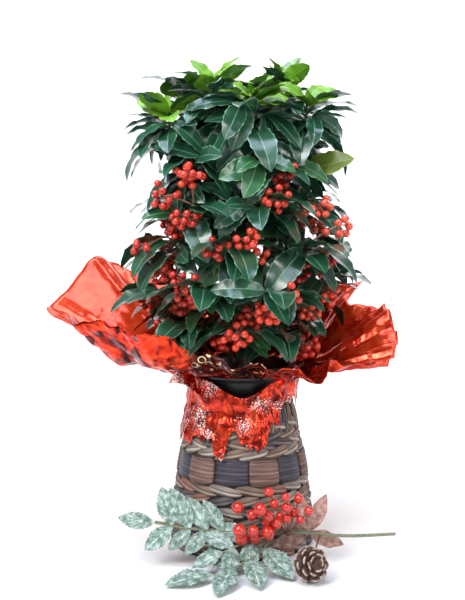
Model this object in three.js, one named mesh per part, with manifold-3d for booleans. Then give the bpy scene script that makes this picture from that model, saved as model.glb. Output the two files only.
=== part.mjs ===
// A potted coral berry shrub in a woven basket, dressed with a red film collar and a winter pick.
// Millimetres, +Z up. The origin is the centre of the basket's flat underside, and the front is towards -Y.
import * as THREE from "three";
import { mergeVertices } from "three/addons/utils/BufferGeometryUtils.js";
import Module from "manifold-3d";

const wasm = await Module();
wasm.setup();

// Driving dimensions of the holder and the film.
const GAP = 0.3;
const TURN_SEGMENTS = 24;
const BASKET = { height: 170, footRadius: 84, mouthRadius: 57.5, swell: 1.88, wall: 4.6, floor: 5 };
const WEAVE = { footRows: 7, footTop: 73, blockTop: 105, upperRows: 4, upperTop: 146, relief: 1.6 };
const POT = { bottom: 95, top: 205, rimHeight: 12, rimRadius: 60, neckRadius: 56.5, wall: 1.6 };
const SOIL = { top: 190, crownRise: 3 };
const FILM = { neckRadius: 62, neckHeight: 196, thick: 0.8, folds: 17, foldDepth: 3.5, around: 68, along: 5 };
const APRON = { radius: 61.6, stand: 1, pleats: 16, pleatDepth: 1, around: 48, down: 3, dip: 30, dipWidth: 21 };

// Edge of the film collar by azimuth in degrees: reach from the axis, height, and how far the edge curls up.
const FILM_EDGE = [
  { azimuth: 7, reach: 170, height: 268, curl: 4 },
  { azimuth: 18, reach: 132, height: 266, curl: 4 },
  { azimuth: 29, reach: 172, height: 296, curl: 0 },
  { azimuth: 58, reach: 138, height: 262, curl: 6 },
  { azimuth: 88, reach: 164, height: 280, curl: 0 },
  { azimuth: 118, reach: 140, height: 268, curl: 8 },
  { azimuth: 149, reach: 218, height: 316, curl: 4 },
  { azimuth: 171, reach: 238, height: 256, curl: 6 },
  { azimuth: 183, reach: 176, height: 236, curl: 8 },
  { azimuth: 196, reach: 204, height: 232, curl: 34 },
  { azimuth: 224, reach: 158, height: 221, curl: 34 },
  { azimuth: 246, reach: 106, height: 213, curl: 8 },
  { azimuth: 270, reach: 116, height: 206, curl: 0 },
  { azimuth: 290, reach: 112, height: 210, curl: 2 },
  { azimuth: 308, reach: 138, height: 204, curl: 0 },
  { azimuth: 322, reach: 126, height: 214, curl: 4 },
  { azimuth: 340, reach: 172, height: 210, curl: 0 },
  { azimuth: 354, reach: 180, height: 236, curl: 0 },
];

// Lower edge of the film apron that hangs over the basket's shoulder.
const APRON_EDGE = [
  { azimuth: 0, height: 166 },
  { azimuth: 45, height: 146 },
  { azimuth: 75, height: 126 },
  { azimuth: 105, height: 142 },
  { azimuth: 140, height: 122 },
  { azimuth: 180, height: 128 },
  { azimuth: 215, height: 122 },
  { azimuth: 236, height: 132 },
  { azimuth: 252, height: 114 },
  { azimuth: 262, height: 136 },
  { azimuth: 280, height: 116 },
  { azimuth: 302, height: 146 },
  { azimuth: 322, height: 166 },
];

// Driving dimensions of the plant.
const LEAF = { length: 73, width: 25, thick: 1.2, fold: 0.3 };
const BERRY = { radius: 4.9, pedicel: 14, pedicelRadius: 0.65, count: 4, sides: 5 };
const TRUNK = { base: 190.6, radius: 5.5, flare: 9, tipRadius: 2.6, sides: 7, steps: 7 };
const BOUGH = { radius: 3.4, tipRadius: 2.1, sides: 5, steps: 6, firstFork: 206, forkStep: 7, climb: 95 };
const TWIG = { radius: 1.7, tipRadius: 1.0, sides: 3, steps: 3 };
const GOLDEN = THREE.MathUtils.degToRad(137.508);

// Leaf rosettes of the crown: where each bough's tip stands, by azimuth, distance from the axis and height.
const CROWN = [
  { name: "centre", azimuth: 199, out: 32, height: 488, leaves: 10, seed: 11 },
  { name: "left", azimuth: 194, out: 84, height: 456, leaves: 10, seed: 12 },
  { name: "left_back", azimuth: 156, out: 72, height: 484, leaves: 9, seed: 13 },
  { name: "front", azimuth: 284, out: 50, height: 466, leaves: 10, seed: 24 },
  { name: "right_top", azimuth: 22, out: 48, height: 494, leaves: 9, seed: 15 },
  { name: "right", azimuth: 350, out: 74, height: 468, leaves: 10, seed: 16 },
  { name: "back", azimuth: 108, out: 72, height: 476, leaves: 9, seed: 17 },
  { name: "right_back", azimuth: 58, out: 80, height: 472, leaves: 9, seed: 18 },
];

// Side sprays in tiers: how high they leave their limb, where their tips reach, and their umbels of fruit.
const TIERS = [
  { name: "a", attach: 224, reach: 86, tip: 252, sag: 8, leaves: 5, umbels: [1], seed: 31,
    azimuths: [212, 268, 322, 24, 96, 160] },
  { name: "b", attach: 262, reach: 100, tip: 298, sag: 9, leaves: 6, umbels: [1], seed: 47,
    azimuths: [184, 238, 292, 346, 58, 128] },
  { name: "c", attach: 306, reach: 92, tip: 346, sag: 8, leaves: 6, umbels: [1], seed: 61,
    azimuths: [204, 262, 316, 8, 84, 150] },
  { name: "d", attach: 354, reach: 80, tip: 394, sag: 6, leaves: 6, umbels: [1, 1, 0], seed: 79,
    azimuths: [186, 232, 290, 340, 50, 118] },
  { name: "e", attach: 404, reach: 58, tip: 432, sag: 5, leaves: 6, umbels: [0], seed: 97,
    azimuths: [214, 306, 24, 108] },
];

// Clearances of the growth rule, between points marked on twigs, leaves and fruit.
const SPACE = { leafToLeaf: 7, ownLeaf: 4, leafToTwig: 6, fruitToLeaf: 8.2, fruitToFruit: 10.8, film: 8, tries: 16 };
const MARKS = [0.16, 0.28, 0.4, 0.52, 0.64, 0.76, 0.88, 0.98];

// Driving dimensions of the winter pick that leans on the basket's foot.
const PICK = {
  stemRadius: 1.7,
  stem: [[-94, -88, 46], [-43, -90, 39], [2, -87.5, 36], [55, -90, 36], [112, -90, 32], [166, -84, 32]],
  twig: [[30, -87.5, 32], [22, -104, 21], [-2, -124, 13], [-30, -137, 7]],
  leafLength: 44, leafWidth: 19, petalLength: 44, petalWidth: 20,
  hubAt: 0.58, petalsAt: 0.66, coneAt: 0.7, wires: 8, wireLength: 64, bigBerry: 7.2, smallBerry: 4.4,
  cone: [71, -141, 19.2], coneRadius: 15.5, coneScales: 22,
};

const LOOKS = {
  woven: new THREE.MeshStandardMaterial({ color: "#6f5d52", roughness: 0.8 }),
  potPlastic: new THREE.MeshStandardMaterial({ color: "#15120f", roughness: 0.55 }),
  peat: new THREE.MeshStandardMaterial({ color: "#2c2018", roughness: 1 }),
  film: new THREE.MeshStandardMaterial({ color: "#e23a17", roughness: 0.25, metalness: 0.7 }),
  bark: new THREE.MeshStandardMaterial({ color: "#5c4a3a", roughness: 0.9 }),
  foliage: new THREE.MeshStandardMaterial({ color: "#1f4a2a", roughness: 0.35 }),
  fruiting: new THREE.MeshStandardMaterial({ color: "#a8301f", roughness: 0.35 }),
  frosted: new THREE.MeshStandardMaterial({ color: "#9fbdab", roughness: 0.7 }),
  pickBerry: new THREE.MeshStandardMaterial({ color: "#d8231a", roughness: 0.2 }),
  petal: new THREE.MeshStandardMaterial({ color: "#9c6f62", roughness: 0.8 }),
  cone: new THREE.MeshStandardMaterial({ color: "#6a4c3c", roughness: 0.85 }),
};

const radians = THREE.MathUtils.degToRad;
const lerp = THREE.MathUtils.lerp;
const vector = (x, y, z) => new THREE.Vector3(x, y, z);
const UP = vector(0, 0, 1);

// Shared geometry helpers.

/** A seeded stream of numbers between 0 and 1. */
function stream(seed) {
  let state = seed;
  return () => {
    state = (state * 16807) % 2147483647;
    return state / 2147483647;
  };
}

/** Turns a closed geometry into a solid, whichever way its faces were wound. */
function solid(geometry) {
  const bare = new THREE.BufferGeometry().setAttribute("position", geometry.getAttribute("position"));
  if (geometry.index) bare.setIndex(geometry.index);
  const merged = mergeVertices(bare, 1e-3);
  const corners = new Uint32Array(merged.index.array);
  const make = () =>
    new wasm.Manifold(
      new wasm.Mesh({ numProp: 3, vertProperties: merged.attributes.position.array, triVerts: corners }),
    );
  const made = make();
  if (made.volume() > 0) return made;
  for (let i = 0; i < corners.length; i += 3) [corners[i + 1], corners[i + 2]] = [corners[i + 2], corners[i + 1]];
  return make();
}

/** A named mesh of a solid. */
function mesh(name, made, look) {
  const data = made.getMesh();
  const places = new Float32Array(data.numVert * 3);
  for (let i = 0; i < data.numVert; i++) {
    places.set(data.vertProperties.subarray(i * data.numProp, i * data.numProp + 3), i * 3);
  }
  const geometry = new THREE.BufferGeometry();
  geometry.setAttribute("position", new THREE.BufferAttribute(places, 3));
  geometry.setIndex(new THREE.BufferAttribute(data.triVerts, 1));
  geometry.computeVertexNormals();
  const made3d = new THREE.Mesh(geometry, look);
  made3d.name = name;
  return made3d;
}

/** Joins solids that overlap into one, and keeps the body that the first of them is in. */
function fuse(parts) {
  const joined = wasm.Manifold.union(parts);
  const bodies = joined.decompose();
  return bodies.sort((a, b) => b.volume() - a.volume())[0].simplify(0.02);
}

/** Moves a solid along a direction until it lies the usual gap from what carries it. */
function seat(made, carrier, direction) {
  let placed = made;
  for (let i = 0; i < 4; i++) {
    const left = placed.minGap(carrier, 12) - GAP;
    placed = placed.translate(direction.clone().normalize().multiplyScalar(left).toArray());
  }
  return placed;
}

/** A closed skin over rings of points. A ring of one point is a pole, and looped rings join last to first. */
function skin(rings, looped = false) {
  const places = rings.flat().flatMap((p) => p.toArray());
  const starts = [];
  rings.reduce((at, ring) => (starts.push(at), at + ring.length), 0);
  const index = [];
  const spans = looped ? rings.length : rings.length - 1;
  for (let i = 0; i < spans; i++) {
    const next = (i + 1) % rings.length;
    const [a, b] = [rings[i].length, rings[next].length];
    const count = Math.max(a, b);
    for (let k = 0; k < count; k++) {
      const [a0, a1] = [starts[i] + (k % a), starts[i] + ((k + 1) % a)];
      const [b0, b1] = [starts[next] + (k % b), starts[next] + ((k + 1) % b)];
      if (b > 1) index.push(a0, b0, b1);
      if (a > 1) index.push(a0, b1, a1);
    }
  }
  if (!looped) {
    for (const [ring, at, flip] of [[rings[0], starts[0], 0], [rings.at(-1), starts.at(-1), 1]]) {
      for (let k = 1; k + 1 < ring.length; k++) index.push(at, at + k + flip, at + k + 1 - flip);
    }
  }
  const geometry = new THREE.BufferGeometry();
  geometry.setAttribute("position", new THREE.Float32BufferAttribute(places, 3));
  geometry.setIndex(index);
  return solid(geometry);
}

/** A round solid turned about Z from a profile of [radius, height] pairs that starts and ends on the axis. */
function turned(profile, segments = TURN_SEGMENTS) {
  const points = profile.map(([r, z]) => new THREE.Vector2(r, z));
  return solid(new THREE.LatheGeometry(points, segments).rotateX(Math.PI / 2));
}

/** A tapering limb with flat ends along a curve. */
function limb(curve, startRadius, endRadius, sides, steps, flare = 0) {
  const run = curve.getPoint(1).sub(curve.getPoint(0));
  const axes = [vector(1, 0, 0), vector(0, 1, 0), vector(0, 0, 1)];
  const lean = axes.sort((a, b) => Math.abs(a.dot(run)) - Math.abs(b.dot(run)))[0];
  const rings = [];
  for (let i = 0; i <= steps; i++) {
    const t = flare > 0 && i > 0 ? lerp(0.03, 1, (i - 1) / (steps - 1)) : i / steps;
    const radius = i === 0 && flare > 0 ? flare : lerp(startRadius, endRadius, t);
    const along = curve.getTangent(t);
    const side = vector(0, 0, 0).crossVectors(lean, along).normalize();
    const other = vector(0, 0, 0).crossVectors(along, side);
    const centre = curve.getPoint(t);
    rings.push(
      Array.from({ length: sides }, (_, k) => {
        const angle = (k / sides) * Math.PI * 2;
        return centre.clone().addScaledVector(side, radius * Math.cos(angle))
          .addScaledVector(other, radius * Math.sin(angle));
      }),
    );
  }
  return skin(rings);
}

/** Berries strung on one thin stalk from a hub, in one skin that starts in the hub as a point. */
function strung(hub, heading, distances, radii, sides, stalkRadius) {
  const axis = heading.clone().normalize();
  const side = vector(0, 0, 0).crossVectors(axis, Math.abs(axis.z) > 0.9 ? vector(1, 0, 0) : UP).normalize();
  const other = vector(0, 0, 0).crossVectors(axis, side);
  const ring = (radius, far, twist) =>
    Array.from({ length: sides }, (_, k) => {
      const angle = ((k + twist) / sides) * Math.PI * 2;
      return hub.clone().addScaledVector(axis, far)
        .addScaledVector(side, radius * Math.cos(angle)).addScaledVector(other, radius * Math.sin(angle));
    });
  const rings = [[hub]];
  distances.forEach((far, i) => {
    const r = radii[i];
    rings.push(ring(stalkRadius, far - 0.93 * r, 0), ring(0.89 * r, far - 0.45 * r, 0));
    rings.push(ring(0.89 * r, far + 0.45 * r, 0.5));
    if (i + 1 < distances.length) rings.push(ring(stalkRadius, far + 0.93 * r, 0.5));
  });
  return skin([...rings, [hub.clone().addScaledVector(axis, distances.at(-1) + radii.at(-1))]]);
}

/** A faceted ball. */
function ball(centre, radius) {
  return solid(new THREE.IcosahedronGeometry(radius, 0).translate(centre.x, centre.y, centre.z));
}

/** Smooth share between two edge entries by azimuth in degrees, right round the circle. */
function around(table, azimuth) {
  const angle = ((azimuth % 360) + 360) % 360;
  let after = table.findIndex((entry) => entry.azimuth > angle);
  if (after < 0) after = 0;
  const before = (after + table.length - 1) % table.length;
  const span = (table[after].azimuth - table[before].azimuth + 360) % 360;
  const share = ((angle - table[before].azimuth + 360) % 360) / span;
  const eased = share * share * (3 - 2 * share);
  const blend = {};
  for (const key of Object.keys(table[0])) blend[key] = lerp(table[before][key], table[after][key], eased);
  return blend;
}

// Holder and film.

/** Outer radius of the basket at a height. */
function basketRadius(z) {
  const drop = Math.pow(Math.min(Math.max(z / BASKET.height, 0), 1), BASKET.swell);
  return BASKET.footRadius - (BASKET.footRadius - BASKET.mouthRadius) * drop;
}

/** Outer radius of the inner pot's wall at a height below its rim. */
function potRadius(z) {
  const rimFoot = POT.top - POT.rimHeight;
  const mouth = BASKET.mouthRadius - BASKET.wall - GAP - 0.05;
  const slope = (POT.neckRadius - mouth) / (rimFoot - BASKET.height);
  return POT.neckRadius - slope * (rimFoot - z);
}

/** The woven basket: a bell with a scalloped outside, one swell for each row of the weave. */
function basket() {
  const rowEdges = [];
  const rows = (count, from, to) => {
    for (let i = 0; i < count; i++) {
      rowEdges.push([lerp(from, to, i / count), WEAVE.relief], [lerp(from, to, (i + 0.5) / count), 0]);
    }
  };
  rows(WEAVE.footRows, 0, WEAVE.footTop);
  rowEdges.push([WEAVE.footTop, WEAVE.relief], [WEAVE.footTop + 3, 0.3], [WEAVE.blockTop - 3, 0.3]);
  rows(WEAVE.upperRows, WEAVE.blockTop, WEAVE.upperTop);
  rowEdges.push([WEAVE.upperTop, WEAVE.relief], [WEAVE.upperTop + 4, 0.2], [BASKET.height - 5, 0.2]);
  const outside = rowEdges.map(([z, inset]) => [basketRadius(z) - inset, z]);
  const rim = BASKET.mouthRadius;
  const top = BASKET.height;
  const inside = [top - 8, 120, 60, BASKET.floor].map((z) => [basketRadius(z) - BASKET.wall - 1, z]);
  return turned([
    [0, 0], ...outside, [rim - 1, top], [rim - BASKET.wall, top], [rim - BASKET.wall, top - 3], ...inside,
    [0, BASKET.floor],
  ]);
}

/** The plain grower's pot, held in the basket's mouth. */
function innerPot() {
  const rimFoot = POT.top - POT.rimHeight;
  const [low, floor] = [POT.bottom, POT.bottom + 1.8];
  return turned([
    [0, low], [potRadius(low), low], [POT.neckRadius, rimFoot], [POT.rimRadius, rimFoot + 0.6],
    [POT.rimRadius, POT.top], [POT.neckRadius - POT.wall, POT.top], [POT.neckRadius - POT.wall, rimFoot],
    [potRadius(floor) - POT.wall, floor], [0, floor],
  ]);
}

/** The peat that fills the pot, slightly crowned. */
function soil() {
  const inner = (z) => potRadius(z) - POT.wall - GAP - 0.1;
  const low = POT.bottom + 1.8 + GAP;
  return turned([
    [0, low], [inner(low), low], [inner(SOIL.top - SOIL.crownRise), SOIL.top - SOIL.crownRise],
    [32, SOIL.top], [0, SOIL.top],
  ]);
}

/** A point on the film collar's middle surface, by azimuth in degrees and share from neck to edge. */
function filmPoint(azimuth, share) {
  const edge = around(FILM_EDGE, azimuth);
  const radius = FILM.neckRadius + (edge.reach - FILM.neckRadius) * Math.pow(share, 1.25);
  return [radius, filmHeight(azimuth, share, edge)];
}

/** Height of the collar's middle surface. */
function filmHeight(azimuth, share, edge) {
  const tip = Math.max((share - 0.62) / 0.38, 0);
  const fold = Math.cos(radians(azimuth) * FILM.folds) * FILM.foldDepth * share;
  return FILM.neckHeight + (edge.height - FILM.neckHeight) * Math.pow(share, 1.4) + edge.curl * tip * tip + fold;
}

/** A closed thin sheet round Z: rings of [radius, height, offset direction] turned into an outer and an inner face. */
function thinSheet(count, outline) {
  const rings = [];
  for (let i = 0; i < count; i++) {
    const azimuth = (i / count) * 360;
    const turn = radians(azimuth);
    rings.push(outline(azimuth).map(([r, z]) => vector(r * Math.cos(turn), r * Math.sin(turn), z)));
  }
  return skin(rings, true);
}

/** The cross-section of a sheet of the given thickness along a line of [radius, height] points. */
function thicken(line, thick) {
  const faces = [[], []];
  line.forEach(([r, z], i) => {
    const [r0, z0] = line[Math.max(i - 1, 0)];
    const [r1, z1] = line[Math.min(i + 1, line.length - 1)];
    const length = Math.hypot(r1 - r0, z1 - z0);
    const [nr, nz] = [(-(z1 - z0) / length) * (thick / 2), ((r1 - r0) / length) * (thick / 2)];
    faces[0].push([r + nr, z + nz]);
    faces[1].unshift([r - nr, z - nz]);
  });
  return [...faces[0], ...faces[1]];
}

/** The film collar that flares out above the pot's rim. */
function filmCollar() {
  return thinSheet(FILM.around, (azimuth) => {
    const line = [];
    for (let k = 0; k <= FILM.along; k++) line.push(filmPoint(azimuth, k / FILM.along));
    return thicken(line, FILM.thick);
  });
}

/** The film apron: it hangs from the collar's neck over the basket's shoulder, and dips in front of the pot. */
function filmApron() {
  return thinSheet(APRON.around, (azimuth) => {
    const away = (azimuth - 270) / APRON.dipWidth;
    const top = FILM.neckHeight - 1 - APRON.dip * Math.exp(-away * away);
    const low = around(APRON_EDGE, azimuth).height;
    const pleat = (1 + Math.cos(radians(azimuth) * APRON.pleats)) * APRON.pleatDepth;
    const line = [];
    for (let k = 0; k <= APRON.down; k++) {
      const z = lerp(top, low, k / APRON.down);
      line.push([Math.max(APRON.radius, basketRadius(z) + APRON.stand) + pleat, z]);
    }
    return thicken(line, FILM.thick);
  });
}

// The growth rule: limbs, twigs, umbels and leaves, each clear of what has grown before it.

/** Place, direction and normal of a blade at a share of its length. */
function bladeAt(leaf, share) {
  const turn = leaf.bend * share;
  const along = leaf.length / leaf.bend;
  const place = leaf.base.clone()
    .addScaledVector(leaf.heading, Math.sin(turn) * along)
    .addScaledVector(leaf.normal, -(1 - Math.cos(turn)) * along);
  const heading = leaf.heading.clone().multiplyScalar(Math.cos(turn)).addScaledVector(leaf.normal, -Math.sin(turn));
  const normal = leaf.normal.clone().multiplyScalar(Math.cos(turn)).addScaledVector(leaf.heading, Math.sin(turn));
  return { place, heading, normal, side: vector(0, 0, 0).crossVectors(heading, normal) };
}

/** Half the width of a leaf at a share of its length: pointed at both ends, widest just past the middle. */
function halfWidth(leaf, share) {
  return (leaf.width / 2) * Math.pow(Math.sin(Math.PI * Math.pow(share, 0.92)), 0.85);
}

/** A leaf from its base, azimuth, rise, roll and bend, all angles in radians. */
function leafFrom(base, azimuth, rise, roll, bend, length, width) {
  const heading = vector(Math.cos(rise) * Math.cos(azimuth), Math.cos(rise) * Math.sin(azimuth), Math.sin(rise));
  const level = vector(-Math.sin(rise) * Math.cos(azimuth), -Math.sin(rise) * Math.sin(azimuth), Math.cos(rise));
  const side = vector(-Math.sin(azimuth), Math.cos(azimuth), 0);
  const normal = level.multiplyScalar(Math.cos(roll)).addScaledVector(side, Math.sin(roll));
  return { base, heading, normal, bend, length, width };
}

/** Points marked on a leaf, which stand for it in the tests of clearance. */
function leafMarks(leaf) {
  const marks = [];
  for (const share of MARKS) {
    const at = bladeAt(leaf, share);
    for (const across of [-0.92, -0.32, 0.32, 0.92]) {
      marks.push(at.place.clone().addScaledVector(at.side, across * halfWidth(leaf, share)));
    }
  }
  return marks;
}

/** True if a point is above the film collar and the pot. */
function aboveFilm(p) {
  const radius = Math.hypot(p.x, p.y);
  if (radius < FILM.neckRadius + 2) return p.z > POT.top + SPACE.film;
  const azimuth = THREE.MathUtils.radToDeg(Math.atan2(p.y, p.x));
  const edge = around(FILM_EDGE, azimuth);
  if (radius > edge.reach + 12) return true;
  const share = Math.min(Math.pow((radius - FILM.neckRadius) / (edge.reach - FILM.neckRadius), 0.8), 1);
  return p.z > filmHeight(azimuth, share, edge) + SPACE.film;
}

/** Everything that has grown: marked points with the mass they belong to and what they are. */
class Thicket {
  constructor() {
    this.marks = [];
  }

  add(points, owner, kind) {
    for (const p of points) this.marks.push({ p, owner, kind });
  }

  /** True if no point is nearer to another mass's marks than the distance for that kind, or to its own than own. */
  clear(points, owner, distances, own) {
    for (const { p, owner: whose, kind } of this.marks) {
      const limit = whose === owner ? own[kind] ?? 0 : distances[kind];
      if (limit > 0 && points.some((q) => q.distanceToSquared(p) < limit * limit)) return false;
    }
    return true;
  }
}

/** Points along a curve. */
function along(curve, count, from = 0, to = 1) {
  return Array.from({ length: count + 1 }, (_, i) => curve.getPoint(lerp(from, to, i / count)));
}

/** A point given by azimuth in degrees, distance from the axis and height. */
function polar(azimuth, out, z) {
  return vector(out * Math.cos(radians(azimuth)), out * Math.sin(radians(azimuth)), z);
}

/** The trunk and the boughs that fork from it, each ending just below its rosette. */
function growLimbs(thicket) {
  const [centre, ...others] = CROWN;
  const trunkTip = polar(centre.azimuth, centre.out, centre.height);
  const trunk = {
    name: "trunk",
    curve: new THREE.CubicBezierCurve3(
      vector(0, 0, TRUNK.base), vector(-2, 2, 290), polar(centre.azimuth, centre.out * 0.6, 400), trunkTip),
    radii: [TRUNK.radius, TRUNK.tipRadius],
  };
  const limbs = [trunk];
  const widest = [...others].sort((a, b) => b.out - a.out);
  others.forEach((tip) => {
    const height = BOUGH.firstFork + BOUGH.forkStep * widest.indexOf(tip);
    const fork = trunk.curve.getPoint(shareAtHeight(trunk.curve, height));
    const start = fork.clone().add(polar(tip.azimuth, TRUNK.radius + BOUGH.radius + 0.2, 0));
    const end = polar(tip.azimuth, tip.out, tip.height);
    limbs.push({
      name: "bough_" + tip.name,
      curve: new THREE.CubicBezierCurve3(
        start, start.clone().add(polar(tip.azimuth, 0.42 * tip.out, BOUGH.climb * 0.55)),
        end.clone().add(polar(tip.azimuth, -0.12 * tip.out, -BOUGH.climb)), end),
      radii: [BOUGH.radius, BOUGH.tipRadius],
    });
  });
  for (const { name, curve } of limbs) thicket.add(along(curve, 48), name, "limb");
  return limbs;
}

/** The point of a limb at a height, as a share of its curve. */
function shareAtHeight(curve, z) {
  let [low, high] = [0, 1];
  for (let i = 0; i < 30; i++) {
    const middle = (low + high) / 2;
    if (curve.getPoint(middle).z < z) low = middle;
    else high = middle;
  }
  return low;
}

/** The rosette masses, each on a short stem that grows on from its bough's tip. */
function growRosettes(limbs, thicket) {
  return CROWN.map((tip, i) => {
    const end = limbs[i].curve.getPoint(1);
    const heading = limbs[i].curve.getTangent(1);
    const start = end.clone().addScaledVector(heading, GAP);
    const name = "crown_" + tip.name;
    const curve = new THREE.QuadraticBezierCurve3(
      start, start.clone().addScaledVector(heading, 20), start.clone().addScaledVector(heading, 24).addScaledVector(UP, 16));
    thicket.add(along(curve, 4), name, "twig");
    return {
      name, curve, parent: limbs[i], crown: true, azimuth: tip.azimuth, leaves: tip.leaves, umbels: 0,
      random: stream(tip.seed * 7919), fruit: [], blades: [],
    };
  });
}

/** The fruiting sprays: each leaves the limb that stands nearest to its tip, and arches out. */
function growSprays(limbs, thicket) {
  const masses = [];
  for (const tier of TIERS) {
    tier.azimuths.forEach((wanted, k) => {
      const name = "spray_" + tier.name + "_" + (k + 1);
      const random = stream((tier.seed + k) * 7919);
      random();
      const reach = tier.reach * lerp(0.9, 1.1, random());
      const height = tier.tip + 16 * (random() - 0.5);
      for (let t = 0; t < SPACE.tries; t++) {
        const azimuth = wanted + (t % 2 ? 1 : -1) * 4 * Math.ceil(t / 2);
        const tip = polar(azimuth, reach, height);
        const spots = limbs.map((l) => {
          const share = shareAtHeight(l.curve, tier.attach);
          return { limb: l, share, place: l.curve.getPoint(share) };
        });
        spots.sort((a, b) => a.place.distanceTo(tip) - b.place.distanceTo(tip));
        const { limb: parent, share, place } = spots[0];
        const radius = lerp(parent.radii[0], parent.radii[1], share);
        const grain = parent.curve.getTangent(share);
        const away = tip.clone().sub(place).setZ(0);
        away.addScaledVector(grain, -away.dot(grain)).normalize();
        const seat = place.clone().addScaledVector(away, radius + GAP);
        const bow = seat.clone().lerp(tip, 0.5).add(vector(0, 0, tier.sag));
        const tilt = Math.sqrt(Math.max(0, 1 - bow.clone().sub(seat).normalize().dot(away) ** 2));
        const start = seat.addScaledVector(away, TWIG.radius * tilt);
        const curve = new THREE.QuadraticBezierCurve3(start, bow, tip);
        const marks = along(curve, 14);
        const clear = thicket.clear(marks.slice(3), name, { limb: 5.5, twig: 6.5 }, {})
          && thicket.clear(marks, name, { twig: 6.5 }, {});
        if (!clear && t < SPACE.tries - 1) continue;
        if (!clear) break;
        thicket.add(marks, name, "twig");
        const umbels = tier.umbels[k % tier.umbels.length];
        masses.push({
          name, curve, parent, inward: away.negate(), crown: false, azimuth, leaves: tier.leaves, umbels, random,
          fruit: [], blades: [],
        });
        break;
      }
    });
  }
  return masses;
}

/** One umbel: a drooping stalk with fruit on thin stalks that fan out below and around its end. */
function growUmbel(mass, order, thicket) {
  const { random } = mass;
  for (let t = 0; t < SPACE.tries; t++) {
    const share = order === 0 ? lerp(0.72, 0.98, random()) : lerp(0.4, 0.7, random());
    const root = mass.curve.getPoint(share);
    const turn = radians(mass.azimuth) + (random() - 0.5) * 2.2;
    const drop = lerp(-0.15, -0.75, random());
    const reach = lerp(16, 24, random());
    const stalk = vector(Math.cos(turn) * Math.cos(drop), Math.sin(turn) * Math.cos(drop), Math.sin(drop));
    const hub = root.clone().addScaledVector(stalk, reach);
    const side = vector(-Math.sin(turn), Math.cos(turn), 0);
    const over = vector(0, 0, 0).crossVectors(stalk, side);
    const berries = [];
    for (let k = 0; k < BERRY.count; k++) {
      const opening = k === 0 ? 0.25 * random() : lerp(0.95, 1.3, random());
      const spin = (k / (BERRY.count - 1)) * Math.PI * 2 + 0.4 * random();
      const heading = stalk.clone().multiplyScalar(Math.cos(opening))
        .addScaledVector(side, Math.sin(opening) * Math.cos(spin))
        .addScaledVector(over, Math.sin(opening) * Math.sin(spin));
      heading.z -= 0.35;
      berries.push(hub.clone().addScaledVector(heading.normalize(), BERRY.pedicel * lerp(0.85, 1.15, random())));
    }
    const far = { limb: 9, twig: 7.5, fruit: SPACE.fruitToFruit, stalk: 7 };
    const own = { fruit: SPACE.fruitToFruit };
    const low = berries.every((p) => aboveFilm(p));
    if (!low || !thicket.clear(berries, mass.name, far, own)) continue;
    if (!thicket.clear([hub, root.clone().lerp(hub, 0.5)], mass.name, { limb: 6, twig: 5, fruit: 7, stalk: 4 }, {})) continue;
    const spread = berries.filter((p, i) => berries.every((q, j) => j >= i || p.distanceTo(q) > 2.02 * BERRY.radius));
    thicket.add(spread, mass.name, "fruit");
    thicket.add([hub, root.clone().lerp(hub, 0.5), ...spread.map((p) => p.clone().lerp(hub, 0.5))], mass.name, "stalk");
    mass.fruit.push({ root, hub, berries: spread });
    return;
  }
}

/** One leaf of a mass, turned and bent until it finds room, or left out. */
function growLeaf(mass, order, thicket) {
  const { random } = mass;
  const crown = mass.crown;
  const share = mass.leaves > 1 ? order / (mass.leaves - 1) : 0;
  const base = mass.curve.getPoint(crown ? lerp(0.2, 0.92, share) : lerp(0.5, 0.95, share));
  const start = radians(mass.azimuth) + order * GOLDEN;
  for (let t = 0; t < SPACE.tries; t++) {
    const shift = (random() - 0.5) * (0.5 + t * 0.12);
    const fan = radians(mass.azimuth) + (((order * GOLDEN) % 3.6) - 1.8);
    const azimuth = (crown ? start : fan) + shift;
    const rise = crown ? lerp(-0.2, 0.8, share) + 0.5 * (random() - 0.5) : lerp(-0.55, 0.35, random());
    const bend = crown ? lerp(1.4, 0.7, share) + 0.4 * (random() - 0.5) : lerp(0.7, 1.4, random());
    const roll = 0.7 * (random() - 0.5);
    const size = lerp(0.86, 1.12, random()) * (crown ? lerp(1, 0.82, share) : 1);
    const leaf = leafFrom(base.clone(), azimuth, rise, roll, bend, LEAF.length * size, LEAF.width * size);
    const marks = leafMarks(leaf);
    const far = { leaf: SPACE.leafToLeaf, twig: SPACE.leafToTwig, limb: 8, fruit: SPACE.fruitToLeaf, stalk: 4.5 };
    const own = { leaf: order === 0 ? 0 : SPACE.ownLeaf, fruit: SPACE.fruitToLeaf, stalk: 3 };
    if (!marks.every((p) => aboveFilm(p)) || !thicket.clear(marks, mass.name, far, own)) continue;
    thicket.add(marks, mass.name, "leaf");
    mass.blades.push(leaf);
    return;
  }
}

/** Grows every mass: all umbels first, because they need the most room, then the leaves turn by turn. */
function growMasses(limbs, thicket) {
  const masses = [...growRosettes(limbs, thicket), ...growSprays(limbs, thicket)];
  for (let order = 0; order < 2; order++) {
    for (const mass of masses) if (order < mass.umbels) growUmbel(mass, order, thicket);
  }
  const most = Math.max(...masses.map((mass) => mass.leaves));
  for (let order = 0; order < most; order++) {
    for (const mass of masses) if (order < mass.leaves) growLeaf(mass, order, thicket);
  }
  return masses;
}

/** The solid of a blade: folded along its rib, bent along its length and pointed at both ends. */
function blade(leaf, shares, thick = LEAF.thick) {
  const ring = (share) => {
    const at = bladeAt(leaf, share);
    const half = halfWidth(leaf, share);
    const lift = half * Math.sin(LEAF.fold);
    const reach = half * Math.cos(LEAF.fold);
    const put = (across, up) => at.place.clone().addScaledVector(at.side, across).addScaledVector(at.normal, up);
    return [put(-reach, lift), put(0, thick / 2), put(reach, lift), put(0, -thick / 2)];
  };
  const root = leaf.base.clone().addScaledVector(leaf.heading, -0.8);
  return skin([[root], ...shares.map(ring), [bladeAt(leaf, 1).place]]);
}

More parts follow.
